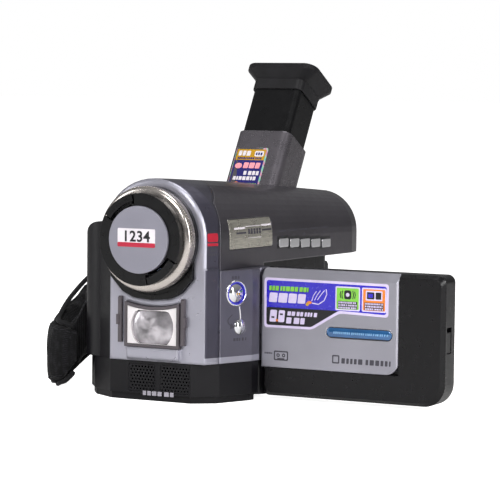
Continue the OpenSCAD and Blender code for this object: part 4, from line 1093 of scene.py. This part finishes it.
    def marks(self) -> None:
        """Prints plain marks where the real cover has words: a cassette picture and a row of bars."""
        s = self.sheet("panel_marks")
        s.blocks((39.7, 20.9), (43.6, 21.7), INK_GREY, 1, 71)
        s.box((44.4, 18.2), (51.6, 22.6), INK_GREY, 1, 0.6)
        s.box((45.0, 18.8), (51.0, 22.0), PANEL_SILVER, 2, 0.4)
        for x in (46.6, 49.4):
            s.disc((x, 20.6), 0.85, INK_GREY, 3, 16)
            s.disc((x, 20.6), 0.35, PANEL_SILVER, 4, 12)
        s.box((46.2, 18.8), (49.8, 19.3), INK_GREY, 3)
        s.box((73.6, 18.6), (77.2, 22.4), INK_GREY, 1, 0.5)
        s.box((74.2, 19.2), (76.6, 21.8), PANEL_SILVER, 2, 0.3)
        s.blocks((78.2, 18.8), (102.2, 21.2), INK_GREY, 1, 83, 0.1, gap=0.3)
        s.done("monitor", "silver_paint")


@dataclass
class Surface:
    """The outer face of a CAD node, on which a flat sheet's points are laid.

    Attributes:
        node: the CAD node.
        origin: a point of the flat sheet.
        out: direction from which the sheet is pressed on.
    """

    node: str
    origin: Point
    out: Point

    def __post_init__(self) -> None:
        """Builds the search tree of the node's mesh."""
        work = bmesh.new()
        work.from_mesh(frame["nodes"][self.node].data)
        self.tree = BVHTree.FromBMesh(work)
        work.free()

    def __call__(self, point: Vector) -> Vector:
        """Moves a point from the flat sheet to the face, with its height above the sheet kept."""
        away = Vector(self.out).normalized()
        rise = (point - Vector(self.origin)).dot(away)
        start = (point + away * (30 - rise)) * M
        hit = self.tree.ray_cast(start, -away)[0]
        return point if hit is None else hit / M + away * rise


def tube(name: str, path: Sequence[Point], radius: float, finish: Finish, sides: int = 10) -> bpy.types.Object:
    """Makes a closed round tube along a path.

    Args:
        name: the piece's name.
        path: its centre points in millimetres.
        radius: its radius.
        finish: what it is made of.
        sides: faces round it.

    Returns:
        The piece.
    """
    spots = [Vector(p) for p in path]
    points, faces = [], []
    for i, spot in enumerate(spots):
        along = (spots[min(i + 1, len(spots) - 1)] - spots[max(i - 1, 0)]).normalized()
        side = along.cross(Vector((0, 0, 1)) if abs(along.z) < 0.8 else Vector((0, 1, 0))).normalized()
        over = side.cross(along)
        slim = 0.55 if i in (0, len(spots) - 1) else 1.0
        for k in range(sides):
            turn = 2 * math.pi * k / sides
            points.append(spot + (side * math.cos(turn) + over * math.sin(turn)) * radius * slim)
    for i in range(len(spots) - 1):
        for k in range(sides):
            a, b = i * sides + k, i * sides + (k + 1) % sides
            faces.append((a, b, b + sides, a + sides))
    faces += [tuple(reversed(range(sides))), tuple(range((len(spots) - 1) * sides, len(spots) * sides))]
    made = make_mesh(name, points, faces, [finish])
    tidy(made)
    smooth(made, 60)
    return made


def ring_band(name: str, centre: Point, out: Point, profile: Sequence[Point], finish: Finish,
              count: int = 48) -> bpy.types.Object:
    """Turns a closed profile of (radius, height) about an axis.

    Args:
        name: the piece's name.
        centre: a point on the axis.
        out: the axis.
        profile: closed outline as (radius, height along the axis).
        finish: what it is made of.
        count: steps round it.

    Returns:
        The piece.
    """
    axis = Vector(out).normalized()
    side = axis.cross(Vector((0, 0, 1))).normalized()
    over = side.cross(axis)
    points, faces, wide = [], [], len(profile)
    for k in range(count):
        turn = 2 * math.pi * k / count
        ray = side * math.cos(turn) + over * math.sin(turn)
        points += [Vector(centre) + ray * r + axis * h for r, h in profile]
        for i in range(wide):
            a, b = k * wide + i, k * wide + (i + 1) % wide
            c, d = ((k + 1) % count) * wide + i, ((k + 1) % count) * wide + (i + 1) % wide
            faces.append((a, b, d, c))
    made = make_mesh(name, points, faces, [finish])
    tidy(made)
    smooth(made, 50)
    return made


@dataclass
class Lamp:
    """The video lamp's moulded lens on its frosted window, and the pale marks under the microphones."""

    centre: Point = (0.75, 33.7)
    radius: float = 10.95
    low: Point = (-10.2, 25.9)
    high: Point = (11.7, 41.0)
    back: float = -49.4
    crown: float = 1.15

    def build(self) -> None:
        """Makes the lens and the marks."""
        self.dome()
        marks = Sheet("microphone_marks", (0, -48.6, 0), (1, 0, 0), (0, 0, 1), 0.03)
        marks.blocks((-4.9, 2.5), (12.3, 4.5), INK_PALE, 1, 97, 0.0, gap=0.3, wide=(0.75, 1.25))
        marks.done("camera", "black_plastic")

    def edge(self, turn: float) -> tuple[float, float]:
        """Gives the lens outline's point in one direction: a circle cut flat above and below."""
        x, z = math.cos(turn), math.sin(turn)
        reach = self.radius
        flat = (self.high[1] - self.low[1]) / 2
        if abs(z) > 1e-6:
            reach = (reach ** -9 + (flat / abs(z)) ** -9) ** (-1 / 9)
        return reach * x, reach * z

    def dome(self) -> None:
        """Makes the low dome, with the shallow waves of a pressed lens."""
        count, rings = 64, 14
        points, faces = [], []
        mid = (self.low[1] + self.high[1]) / 2
        for i in range(rings):
            share = 1 - i / rings
            for k in range(count):
                turn = 2 * math.pi * k / count
                x, z = self.edge(turn)
                wave = 0.16 * math.sin(3 * turn + 4 * share) * math.sin(math.pi * share)
                rise = self.crown * (1 - share ** 3.2) + wave
                points.append((self.centre[0] + x * share, self.back - rise, mid + z * share))
        points.append((self.centre[0], self.back - self.crown, mid))
        for i in range(rings - 1):
            for k in range(count):
                a, b = i * count + k, i * count + (k + 1) % count
                faces.append((a, b, b + count, a + count))
        last = (rings - 1) * count
        faces += [(last + k, last + (k + 1) % count, rings * count) for k in range(count)]
        faces.append(tuple(reversed(range(count))))
        lens = make_mesh("lamp_lens", points, faces, [LAMP_LENS])
        tidy(lens)
        smooth(lens, 70)
        seat(lens, "camera", "frosted")


@dataclass
class SideControls:
    """Prints and bright trim round the two side buttons, on the slanted wall."""

    corner: Point = (30.2, -40.4, 0.0)
    along: Point = (0.3676, 0.93, 0.0)

    def spot(self, u: float, z: float, rise: float = 0.0) -> Vector:
        """Gives a point on the wall from its distance along it, its height and its rise."""
        way = Vector(self.along).normalized()
        out = way.cross(Vector((0, 0, 1)))
        return Vector(self.corner) + way * u + Vector((0, 0, z)) + out * rise

    def build(self) -> None:
        """Makes the trim and the prints."""
        way = Vector(self.along).normalized()
        out = way.cross(Vector((0, 0, 1)))
        rim = [(5.0, 0.2), (5.85, 0.2), (5.85, 0.75), (5.6, 1.0), (5.25, 1.0), (5.0, 0.8)]
        seat(ring_band("easy_bezel", self.spot(8.7, 49.1, -0.35), out, rim, CHROME), "camera", "chrome")
        path = [self.spot(10.5 + 0.25 * math.sin(math.pi * k / 8) + 0.1 * k, 43.6 - 0.8 * k, 0.12) for k in range(9)]
        seat(tube("button_link", path, 0.42, CHROME), "camera", "chrome")
        s = Sheet("side_marks", self.corner, self.along, (0, 0, 1), 0.05)
        s.blocks((6.2, 55.4), (11.0, 56.9), INK_GREY, 1, 101, 0.0, gap=0.3)
        s.blocks((7.4, 27.6), (15.0, 29.0), INK_GREY, 1, 103, 0.0, gap=0.3)
        arc = [(6.7 - 2.6 * math.sin(math.pi * k / 12), 39.6 - 0.46 * k) for k in range(13)]
        s.stroke(arc, 0.42, INK_GREY, 1)
        s.shape([(5.4, 33.1), (8.5, 33.9), (5.9, 35.8)], INK_GREY, 1)
        s.done("camera", "side_paint", Surface("side_cover", self.corner, out))
        dot = Sheet("easy_mark", self.spot(8.7, 49.1, 0.0), self.along, (0, 0, 1), 0.05)
        dot.disc((0.3, -0.2), 1.9, INK_VIOLET, 1, 18)
        dot.blocks((-0.9, -0.7), (1.6, 0.3), INK_OLIVE, 2, 7)
        dot.done("easy", "chrome", Surface("easy_button", self.spot(8.7, 49.1, 0.0), out))


@dataclass
class TopPrints:
    """Prints on the top shell: the plate's bars, the red mark and the words over the transport keys."""

    plate: Point = (60.0, 0.0, 0.0)

    def build(self) -> None:
        """Makes the prints."""
        ahead, up, out = (0, 1, 0), (0, 0, 1), (1, 0, 0)
        s = Sheet("plate_marks", self.plate, ahead, up, 0.07)
        s.box((-28.6, 77.2), (-19, 78.1), PAPER_WHITE, 1)
        s.box((-18, 78.1), (-5, 78.35), PAPER_WHITE, 1)
        s.box((-4.2, 77.9), (4.5, 78.7), PAPER_WHITE, 1)
        s.box((-27, 75.1), (-18.5, 75.9), INK_GREY, 1)
        s.box((-4.2, 75.7), (4.5, 76.5), INK_GREY, 1)
        s.box((-29, 73.5), (-18.5, 74.0), INK_TAUPE, 1)
        s.box((-4.2, 73.9), (4.5, 74.5), INK_TAUPE, 1)
        s.box((-17, 72.9), (-4.8, 73.1), PAPER_WHITE, 1)
        s.blocks((-16.6, 74.6), (-5.0, 77.1), INK_GREY, 1, 131, 0.1, gap=0.3, wide=(0.6, 0.85))
        s.done("camera", "champagne", Surface("display_plate", self.plate, out))
        r = Sheet("red_mark", self.plate, ahead, up, 0.05)
        r.box((-47.4, 72.5), (-41.9, 76.3), INK_RED, 1, 0.8)
        r.box((-47.4, 70.7), (-41.9, 71.9), INK_RED, 1)
        r.blocks((-46.9, 68.0), (-42.2, 69.1), INK_GREY, 1, 141)
        r.blocks((-46.9, 66.4), (-42.2, 67.5), INK_GREY, 1, 143)
        r.done("camera", "silver_paint", Surface("front_bezel", self.plate, out))
        k = Sheet("key_marks", self.plate, ahead, up, 0.06)
        for i in range(5):
            low, high = (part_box(f"play_button_{i + 1}")[side].y / M for side in (0, 1))
            k.blocks((low + 0.8, 74.2), (high - 1.0, 75.1), INK_GREY, 1, 151 + i)
            foot, head = (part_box(f"play_button_{i + 1}")[side].z / M for side in (0, 1))
            far_low, near_low, near_high, far_high = low - 0.7, low - 0.1, high + 0.1, high + 0.7
            k.box((far_low, foot - 0.6), (far_high, foot - 0.1), INK_BLACK, 1)
            k.box((far_low, head + 0.1), (far_high, head + 1.3), INK_BLACK, 1)
            k.box((far_low, foot - 0.1), (near_low, head + 0.1), INK_BLACK, 1)
            k.box((near_high, foot - 0.1), (far_high, head + 0.1), INK_BLACK, 1)
            mid = (low + high) / 2
            if i in (0, 4):
                k.shape([(mid - 1.2, 71.6), (mid + 1.2, 72.4), (mid - 1.2, 73.2)], INK_GREY, 1)
            elif i in (1, 3):
                for shift in (-1.1, 0.3):
                    k.shape([(mid + shift, 72.4), (mid + shift + 1.3, 71.7), (mid + shift + 1.3, 73.1)], INK_GREY, 1)
            else:
                k.box((mid - 1.0, 71.7), (mid - 0.2, 73.1), INK_GREY, 1)
                k.box((mid + 0.3, 71.7), (mid + 1.1, 73.1), INK_GREY, 1)
        k.done("camera", "gunmetal_paint", Surface("top_cover", self.plate, out))


@dataclass
class EyepieceSticker:
    """The colour label on the eyepiece sleeve's front face."""

    pivot: Point = (-1.8, 52.0, 82.0)
    depth: float = 12.0

    def build(self) -> None:
        """Makes the eyecup's skirt and the label."""
        self.skirt()
        out = Vector((0, -math.cos(math.radians(30)), 0.5))
        start = Vector(self.pivot) + out * self.depth + Vector((-2.6, 0, 0))
        s = Sheet("eyepiece_sticker", start, (1, 0, 0), (0, 0.5, 0.866), 0.04)
        s.box((-9.2, 4.0), (8.2, 27.4), FOIL, 1, 1.0)
        s.box((-8.3, 4.9), (7.3, 26.5), INK_NAVY, 2, 0.6)
        s.box((-8.3, 20.6), (7.3, 26.5), INK_OLIVE, 3, 0.4)
        s.blocks((-7.2, 22.9), (0.4, 25.6), PAPER_WHITE, 4, 201, 0.1, gap=0.2, wide=(0.6, 0.8))
        s.box((1.6, 22.6), (6.4, 25.6), PAPER_WHITE, 4, 0.6)
        s.blocks((2.2, 23.3), (5.9, 24.8), INK_NAVY, 5, 203, wide=(0.5, 0.7))
        s.blocks((-7.2, 21.1), (5.8, 22.1), INK_NAVY, 4, 205)
        s.disc((-5.6, 17.4), 1.9, INK_PINK, 3, 18, 0.8)
        s.blocks((-3.0, 16.1), (6.2, 19.2), INK_PINK, 3, 207, 0.2, gap=0.16, wide=(0.75, 0.95))
        s.blocks((-1.8, 12.4), (6.4, 14.6), PAPER_WHITE, 3, 209, gap=0.2, wide=(0.6, 0.8))
        s.blocks((-6.8, 9.6), (6.4, 11.6), PAPER_WHITE, 3, 211, gap=0.2)
        s.blocks((-1.0, 6.4), (6.4, 8.0), INK_GREEN, 3, 213)
        s.disc((-4.4, 7.2), 1.5, INK_ORANGE, 3, 16)
        s.done("sleeve", "sleeve_grey", Surface("vf_sleeve", start, out))

    def skirt(self) -> None:
        """Wraps the eyecup's rubber skirt round the tube's end, open behind where the diopter lever slides."""
        up, out = Vector((0, 0.5, 0.866)), Vector((0, -0.866, 0.5))
        low, high = 61.2, 66.6
        half_w, half_t, corner = 12.8, 10.5, 2.8
        walk = [(-5.2, -half_t)]
        for cx, cz, start in ((-half_w + corner, -half_t + corner, 270), (-half_w + corner, half_t - corner, 180),
                              (half_w - corner, half_t - corner, 90), (half_w - corner, -half_t + corner, 0)):
            bend = [math.radians(start - 15 * k) for k in range(7)]
            walk += [(cx + corner * math.cos(turn), cz + corner * math.sin(turn)) for turn in bend]
        walk.append((5.2, -half_t))
        points, faces = [], []
        section = [(0.08, low), (0.75, low), (0.95, low + 0.35), (0.95, high - 0.6), (1.25, high), (0.08, high)]
        for i, (x, z) in enumerate(walk):
            before, after = walk[max(i - 1, 0)], walk[min(i + 1, len(walk) - 1)]
            way = Vector((after[0] - before[0], after[1] - before[1])).normalized()
            nx, nz = -way.y, way.x
            for rise, along in section:
                points.append(Vector(self.pivot) + Vector((x + nx * rise, 0, 0)) + out * (z + nz * rise) + up * along)
        wide = len(section)
        for i in range(len(walk) - 1):
            for k in range(wide):
                a, b = i * wide + k, i * wide + (k + 1) % wide
                faces.append((a, b, b + wide, a + wide))
        faces += [tuple(reversed(range(wide))), tuple(range((len(walk) - 1) * wide, len(walk) * wide))]
        made = make_mesh("eyecup_skirt", points, faces, [RUBBER])
        tidy(made)
        smooth(made, 40)
        seat(made, "tube", "rubber")


class StitchRow:
    """A Geometry Nodes tree that sews a row of thread stitches along an edge."""

    SOCKETS = (("Spacing", "NodeSocketFloat"), ("Length", "NodeSocketFloat"), ("Thread", "NodeSocketFloat"))

    def __init__(self, finish: Finish) -> None:
        """Builds the tree.

        Args:
            finish: the thread's finish.
        """
        self.tree = tree = bpy.data.node_groups.new("stitch_row", "GeometryNodeTree")
        face = tree.interface
        face.new_socket("Geometry", in_out="INPUT", socket_type="NodeSocketGeometry")
        self.ids = {n: face.new_socket(n, in_out="INPUT", socket_type=k).identifier for n, k in self.SOCKETS}
        face.new_socket("Geometry", in_out="OUTPUT", socket_type="NodeSocketGeometry")
        given = add(tree, "NodeGroupInput").outputs
        line = add(tree, "GeometryNodeMeshToCurve", {"Mesh": given["Geometry"]}).outputs[0]
        spots = add(tree, "GeometryNodeCurveToPoints", {"Curve": line, "Length": given["Spacing"]}, mode="LENGTH")
        seed = add(tree, "GeometryNodeMeshUVSphere", {"Segments": 6, "Rings": 5, "Radius": 0.5}).outputs[0]
        thread = given["Thread"]
        size = add(tree, "ShaderNodeCombineXYZ", {"X": thread, "Y": thread, "Z": given["Length"]}).outputs[0]
        stitch = add(tree, "GeometryNodeTransform", {"Geometry": seed, "Scale": size}).outputs[0]
        sewn = add(tree, "GeometryNodeInstanceOnPoints", {
            "Points": spots.outputs["Points"], "Instance": stitch, "Rotation": spots.outputs["Rotation"],
        }).outputs[0]
        real = add(tree, "GeometryNodeRealizeInstances", {"Geometry": sewn}).outputs[0]
        dressed = add(tree, "GeometryNodeSetMaterial", {"Geometry": real, "Material": finish.material()}).outputs[0]
        add(tree, "NodeGroupOutput", {"Geometry": dressed})

    def sew(self, name: str, path: Sequence[Point], spacing: float, length: float, thread: float) -> bpy.types.Object:
        """Sews one row along a path.

        Args:
            name: the piece's name.
            path: the row's points in millimetres.
            spacing: from one stitch to the next.
            length: of one stitch.
            thread: its thickness.

        Returns:
            The plain piece.
        """
        mesh = bpy.data.meshes.new(name + "_line")
        mesh.from_pydata([[c * M for c in p] for p in path], [(i, i + 1) for i in range(len(path) - 1)], [])
        host = bpy.data.objects.new(name + "_line", mesh)
        bpy.context.scene.collection.objects.link(host)
        modifier = host.modifiers.new("stitches", "NODES")
        modifier.node_group = self.tree
        for key, value in (("Spacing", spacing), ("Length", length), ("Thread", thread)):
            modifier[self.ids[key]] = value * M
        made = baked(host, name)
        smooth(made, 180)
        return made


@dataclass
class HandStrap:
    """The hand strap: a padded black nylon hand pad with webbing behind it, between the two lugs.

    Attributes:
        course: points of the webbing's centre line as x, y, z and half height.
        pad_thick: the pad's thickness as cut, before it swells.
        pad_span: first and last course point that the pad covers.
    """

    course: tuple = ((-44.4, -22, 33, 12), (-44.8, -30, 32, 12), (-47.5, -37.5, 21, 13.5), (-52, -38, 18, 15.5),
                     (-57.5, -29, 18.5, 17), (-64.5, -7, 24, 19), (-68.5, 20, 32, 20), (-66, 44, 37, 19),
                     (-56, 60, 38, 15), (-46.4, 65.6, 38, 12), (-45.8, 70.6, 38, 12))
    pad_thick: float = 6.4
    pad_span: tuple = (1.6, 8.4)
    steps: int = 96
    sides: int = 40

    def build(self) -> None:
        """Makes the pad, its binding and stitches, and the webbing."""
        self.webbing()
        self.pad()

    def at(self, where: float) -> tuple[Vector, Vector, float]:
        """Gives the centre, the outward direction and the half height at a place along the course.

        Args:
            where: a course index, whole or between two.

        Returns:
            The point, the outward direction and the half height.
        """
        last = len(self.course) - 1
        i = min(int(where), last - 1)
        t = where - i
        p = [Vector(self.course[min(max(i + k, 0), last)]) for k in (-1, 0, 1, 2)]
        here = 0.5 * (2 * p[1] + (p[2] - p[0]) * t + (2 * p[0] - 5 * p[1] + 4 * p[2] - p[3]) * t * t
                      + (3 * p[1] - p[0] - 3 * p[2] + p[3]) * t ** 3)
        run = 0.5 * ((p[2] - p[0]) + 2 * (2 * p[0] - 5 * p[1] + 4 * p[2] - p[3]) * t
                     + 3 * (3 * p[1] - p[0] - 3 * p[2] + p[3]) * t * t)
        flat = Vector((run.x, run.y, 0)).normalized()
        return Vector(here[:3]), Vector((-flat.y, flat.x, 0)), here[3]

    def skin(self, name: str, first: float, last: float, offsets: tuple, height: Callable, finish: Finish,
             power: float = 0.5) -> bpy.types.Object:
        """Lofts a closed band along the course.

        Args:
            name: the piece's name.
            first: where it starts on the course.
            last: where it ends.
            offsets: inner and outer distance from the centre line.
            height: gives the half height from the place's share and the course's own half height.
            finish: its finish.
            power: how square its section is; smaller is squarer.

        Returns:
            The band, with its UV map "cloth" in millimetres.
        """
        points, faces, spots = [], [], []
        run, before = 0.0, None
        middle, half_thick = sum(offsets) / 2, (offsets[1] - offsets[0]) / 2
        for i in range(self.steps + 1):
            share = i / self.steps
            spot, out, half = self.at(first + (last - first) * share)
            run += (spot - before).length if before else 0.0
            before = spot
            tall, thick = height(share, half), half_thick * min(1.0, 0.3 + 6.5 * share, 0.3 + 6.5 * (1 - share))
            for k in range(self.sides):
                turn = 2 * math.pi * k / self.sides
                c, s = math.cos(turn), math.sin(turn)
                side = math.copysign(abs(c) ** power, c) * thick
                rise = math.copysign(abs(s) ** power, s) * tall
                points.append(spot + out * (middle + side) + Vector((0, 0, rise)))
                spots.append((run, rise + side * 0.5))
        for i in range(self.steps):
            for k in range(self.sides):
                a, b = i * self.sides + k, i * self.sides + (k + 1) % self.sides
                faces.append((a, b, b + self.sides, a + self.sides))
        last_ring = self.steps * self.sides
        faces += [tuple(reversed(range(self.sides))), tuple(range(last_ring, last_ring + self.sides))]
        made = make_mesh(name, points, faces, [finish])
        layer = made.data.uv_layers.new(name="cloth")
        for loop in made.data.loops:
            layer.data[loop.index].uv = spots[loop.vertex_index]
        return made

    def webbing(self) -> None:
        """Makes the flat webbing through both lugs."""
        band = self.skin("strap_band", 0.0, len(self.course) - 1.0, (-1.9, -0.4), lambda share, half: 10.3,
                         WEB_CLOTH, 0.18)
        tidy(band)
        smooth(band, 50)
        seat(band, "door", "webbing", "strap_webbing")

    def pad(self) -> None:
        """Makes the hand pad: lofted, swollen as cloth under pressure, then folded, bound and stitched."""
        first, last = self.pad_span

        def tall(share: float, half: float) -> float:
            """Gives the pad's half height, rounded off at both ends."""
            return (half - 0.8) * min(1.0, 0.62 + 2.6 * share, 0.62 + 2.6 * (1 - share))

        made = self.skin("strap_hand_pad", first, last, (0.2, 0.2 + self.pad_thick), tall, PAD_CLOTH, 0.55)
        tidy(made)
        made = self.swollen(made)
        made = self.finer(made)
        self.fold(made)
        self.unwrap(made)
        smooth(made, 180)
        seat(made, "door", "strap_fabric", "strap_pad")
        rows = StitchRow(THREAD)
        for sign, name in ((1, "upper"), (-1, "lower")):
            binding, seam = [], []
            for i in range(8, 89):
                share = i / 96
                spot, out, half = self.at(first + (last - first) * share)
                rise = tall(share, half)
                binding.append(spot + out * (0.2 + self.pad_thick / 2) + Vector((0, 0, sign * (rise - 0.5))))
                seam.append(spot + Vector((0, 0, sign * (rise - 3.4))))
            cord = tube(f"strap_binding_{name}", binding, 1.1, BINDING, 8)
            seat(cord, "door", "webbing")
            skin = self.search(made)
            sewn = []
            for i, spot in enumerate(seam):
                out = self.at(first + (last - first) * (i + 8) / 96)[1]
                hit = skin.ray_cast((spot + out * 30) * M, -out)[0]
                if hit is not None:
                    sewn.append(hit / M + out * 0.05)
            row = rows.sew(f"strap_stitches_{name}", sewn, 3.2, 2.3, 0.55)
            seat(row, "door", "webbing")

    def search(self, piece: bpy.types.Object) -> BVHTree:
        """Gives the search tree of a piece's mesh."""
        work = bmesh.new()
        work.from_mesh(piece.data)
        tree = BVHTree.FromBMesh(work)
        work.free()
        return tree

    def swollen(self, piece: bpy.types.Object, voxel: float = 3.6, most: float = 2.2) -> bpy.types.Object:
        """Swells a closed pad by cloth simulation under pressure.

        Args:
            piece: the pad as cut; it is removed.
            voxel: the mesh size of the cloth.
            most: how far a point may move.

        Returns:
            The swollen pad.
        """
        name = piece.name
        remesh = piece.modifiers.new("voxels", "REMESH")
        remesh.mode, remesh.voxel_size = "VOXEL", voxel * M
        piece = baked(piece, name)
        before = [v.co.copy() for v in piece.data.vertices]
        cloth = piece.modifiers.new("cloth", "CLOTH")
        held = cloth.settings
        held.quality, held.mass = 6, 0.2
        held.tension_stiffness = held.compression_stiffness = 12
        held.bending_stiffness = 0.4
        held.use_pressure, held.uniform_pressure_force = True, 4
        held.effector_weights.gravity = 0
        scene = bpy.context.scene
        for step in range(1, 21):
            scene.frame_set(step)
        graph = bpy.context.evaluated_depsgraph_get()
        moved = [v.co.copy() for v in piece.evaluated_get(graph).data.vertices]
        piece.modifiers.remove(cloth)
        scene.frame_set(1)
        for vertex, start, end in zip(piece.data.vertices, before, moved):
            way = end - start
            vertex.co = start + way * min(1.0, most * M / max(way.length, 1e-9))
        piece.data.update()
        return piece

    def finer(self, piece: bpy.types.Object) -> bpy.types.Object:
        """Adds one level of subdivision and makes it plain."""
        name = piece.name
        made = piece.modifiers.new("finer", "SUBSURF")
        made.levels = made.render_levels = 1
        return baked(piece, name)

    def nearest(self, point: Vector, table: list) -> int:
        """Gives the index of the course sample nearest to a point."""
        return min(range(len(table)), key=lambda i: (table[i][0].x - point.x) ** 2 + (table[i][0].y - point.y) ** 2)

    def samples(self) -> list:
        """Gives course samples with their running length."""
        table, run, before = [], 0.0, None
        for i in range(161):
            spot, out, half = self.at((len(self.course) - 1) * i / 160)
            run += (spot - before).length if before else 0.0
            before = spot
            table.append((spot, out, half, run))
        return table

    def fold(self, piece: bpy.types.Object) -> None:
        """Presses soft folds across the pad, deepest where it bends, and a sewn channel along each edge."""
        table = self.samples()
        for vertex in piece.data.vertices:
            point = vertex.co / M
            spot, out, half, run = table[self.nearest(point, table)]
            across = (point.z - spot.z) / half
            outer = max(0.0, min(1.0, (point - spot).dot(out) / self.pad_thick))
            bend = math.exp(-((run - 34) / 20) ** 2)
            wave = math.sin(run * 0.62 + 2.2 * math.sin(across * 2.1 + run * 0.07))
            crease = noise.noise(Vector((run * 0.09, across * 1.4, 3.1)))
            depth = (0.22 + 0.55 * bend) * wave + 0.55 * crease
            channel = 0.9 * math.exp(-((abs(across) - 0.83) / 0.05) ** 2)
            vertex.co += out * M * (outer * (depth * (1 - 0.4 * abs(across)) - channel - 0.2))
        piece.data.update()

    def unwrap(self, piece: bpy.types.Object) -> None:
        """Lays the UV map "cloth" along the strap, in millimetres."""
        table = self.samples()
        spots = []
        for vertex in piece.data.vertices:
            point = vertex.co / M
            spot, out, _, run = table[self.nearest(point, table)]
            spots.append((run + (point - spot).dot(Vector((out.y, -out.x, 0))), point.z - spot.z))
        layers = piece.data.uv_layers
        layer = layers.get("cloth") or layers.new(name="cloth")
        for loop in piece.data.loops:
            layer.data[loop.index].uv = spots[loop.vertex_index]


def main() -> None:
    """Builds the studio and every dressed piece."""
    logging.basicConfig(level=logging.INFO, format="%(name)s: %(message)s")
    paint_nodes()
    parts = (Studio(), LensEnd(), MonitorFace(), Lamp(), SideControls(), TopPrints(), EyepieceSticker(), HandStrap())
    for part in parts:
        LOG.info("building %s", type(part).__name__)
        part.build()


if __name__ == "__main__":
    main()
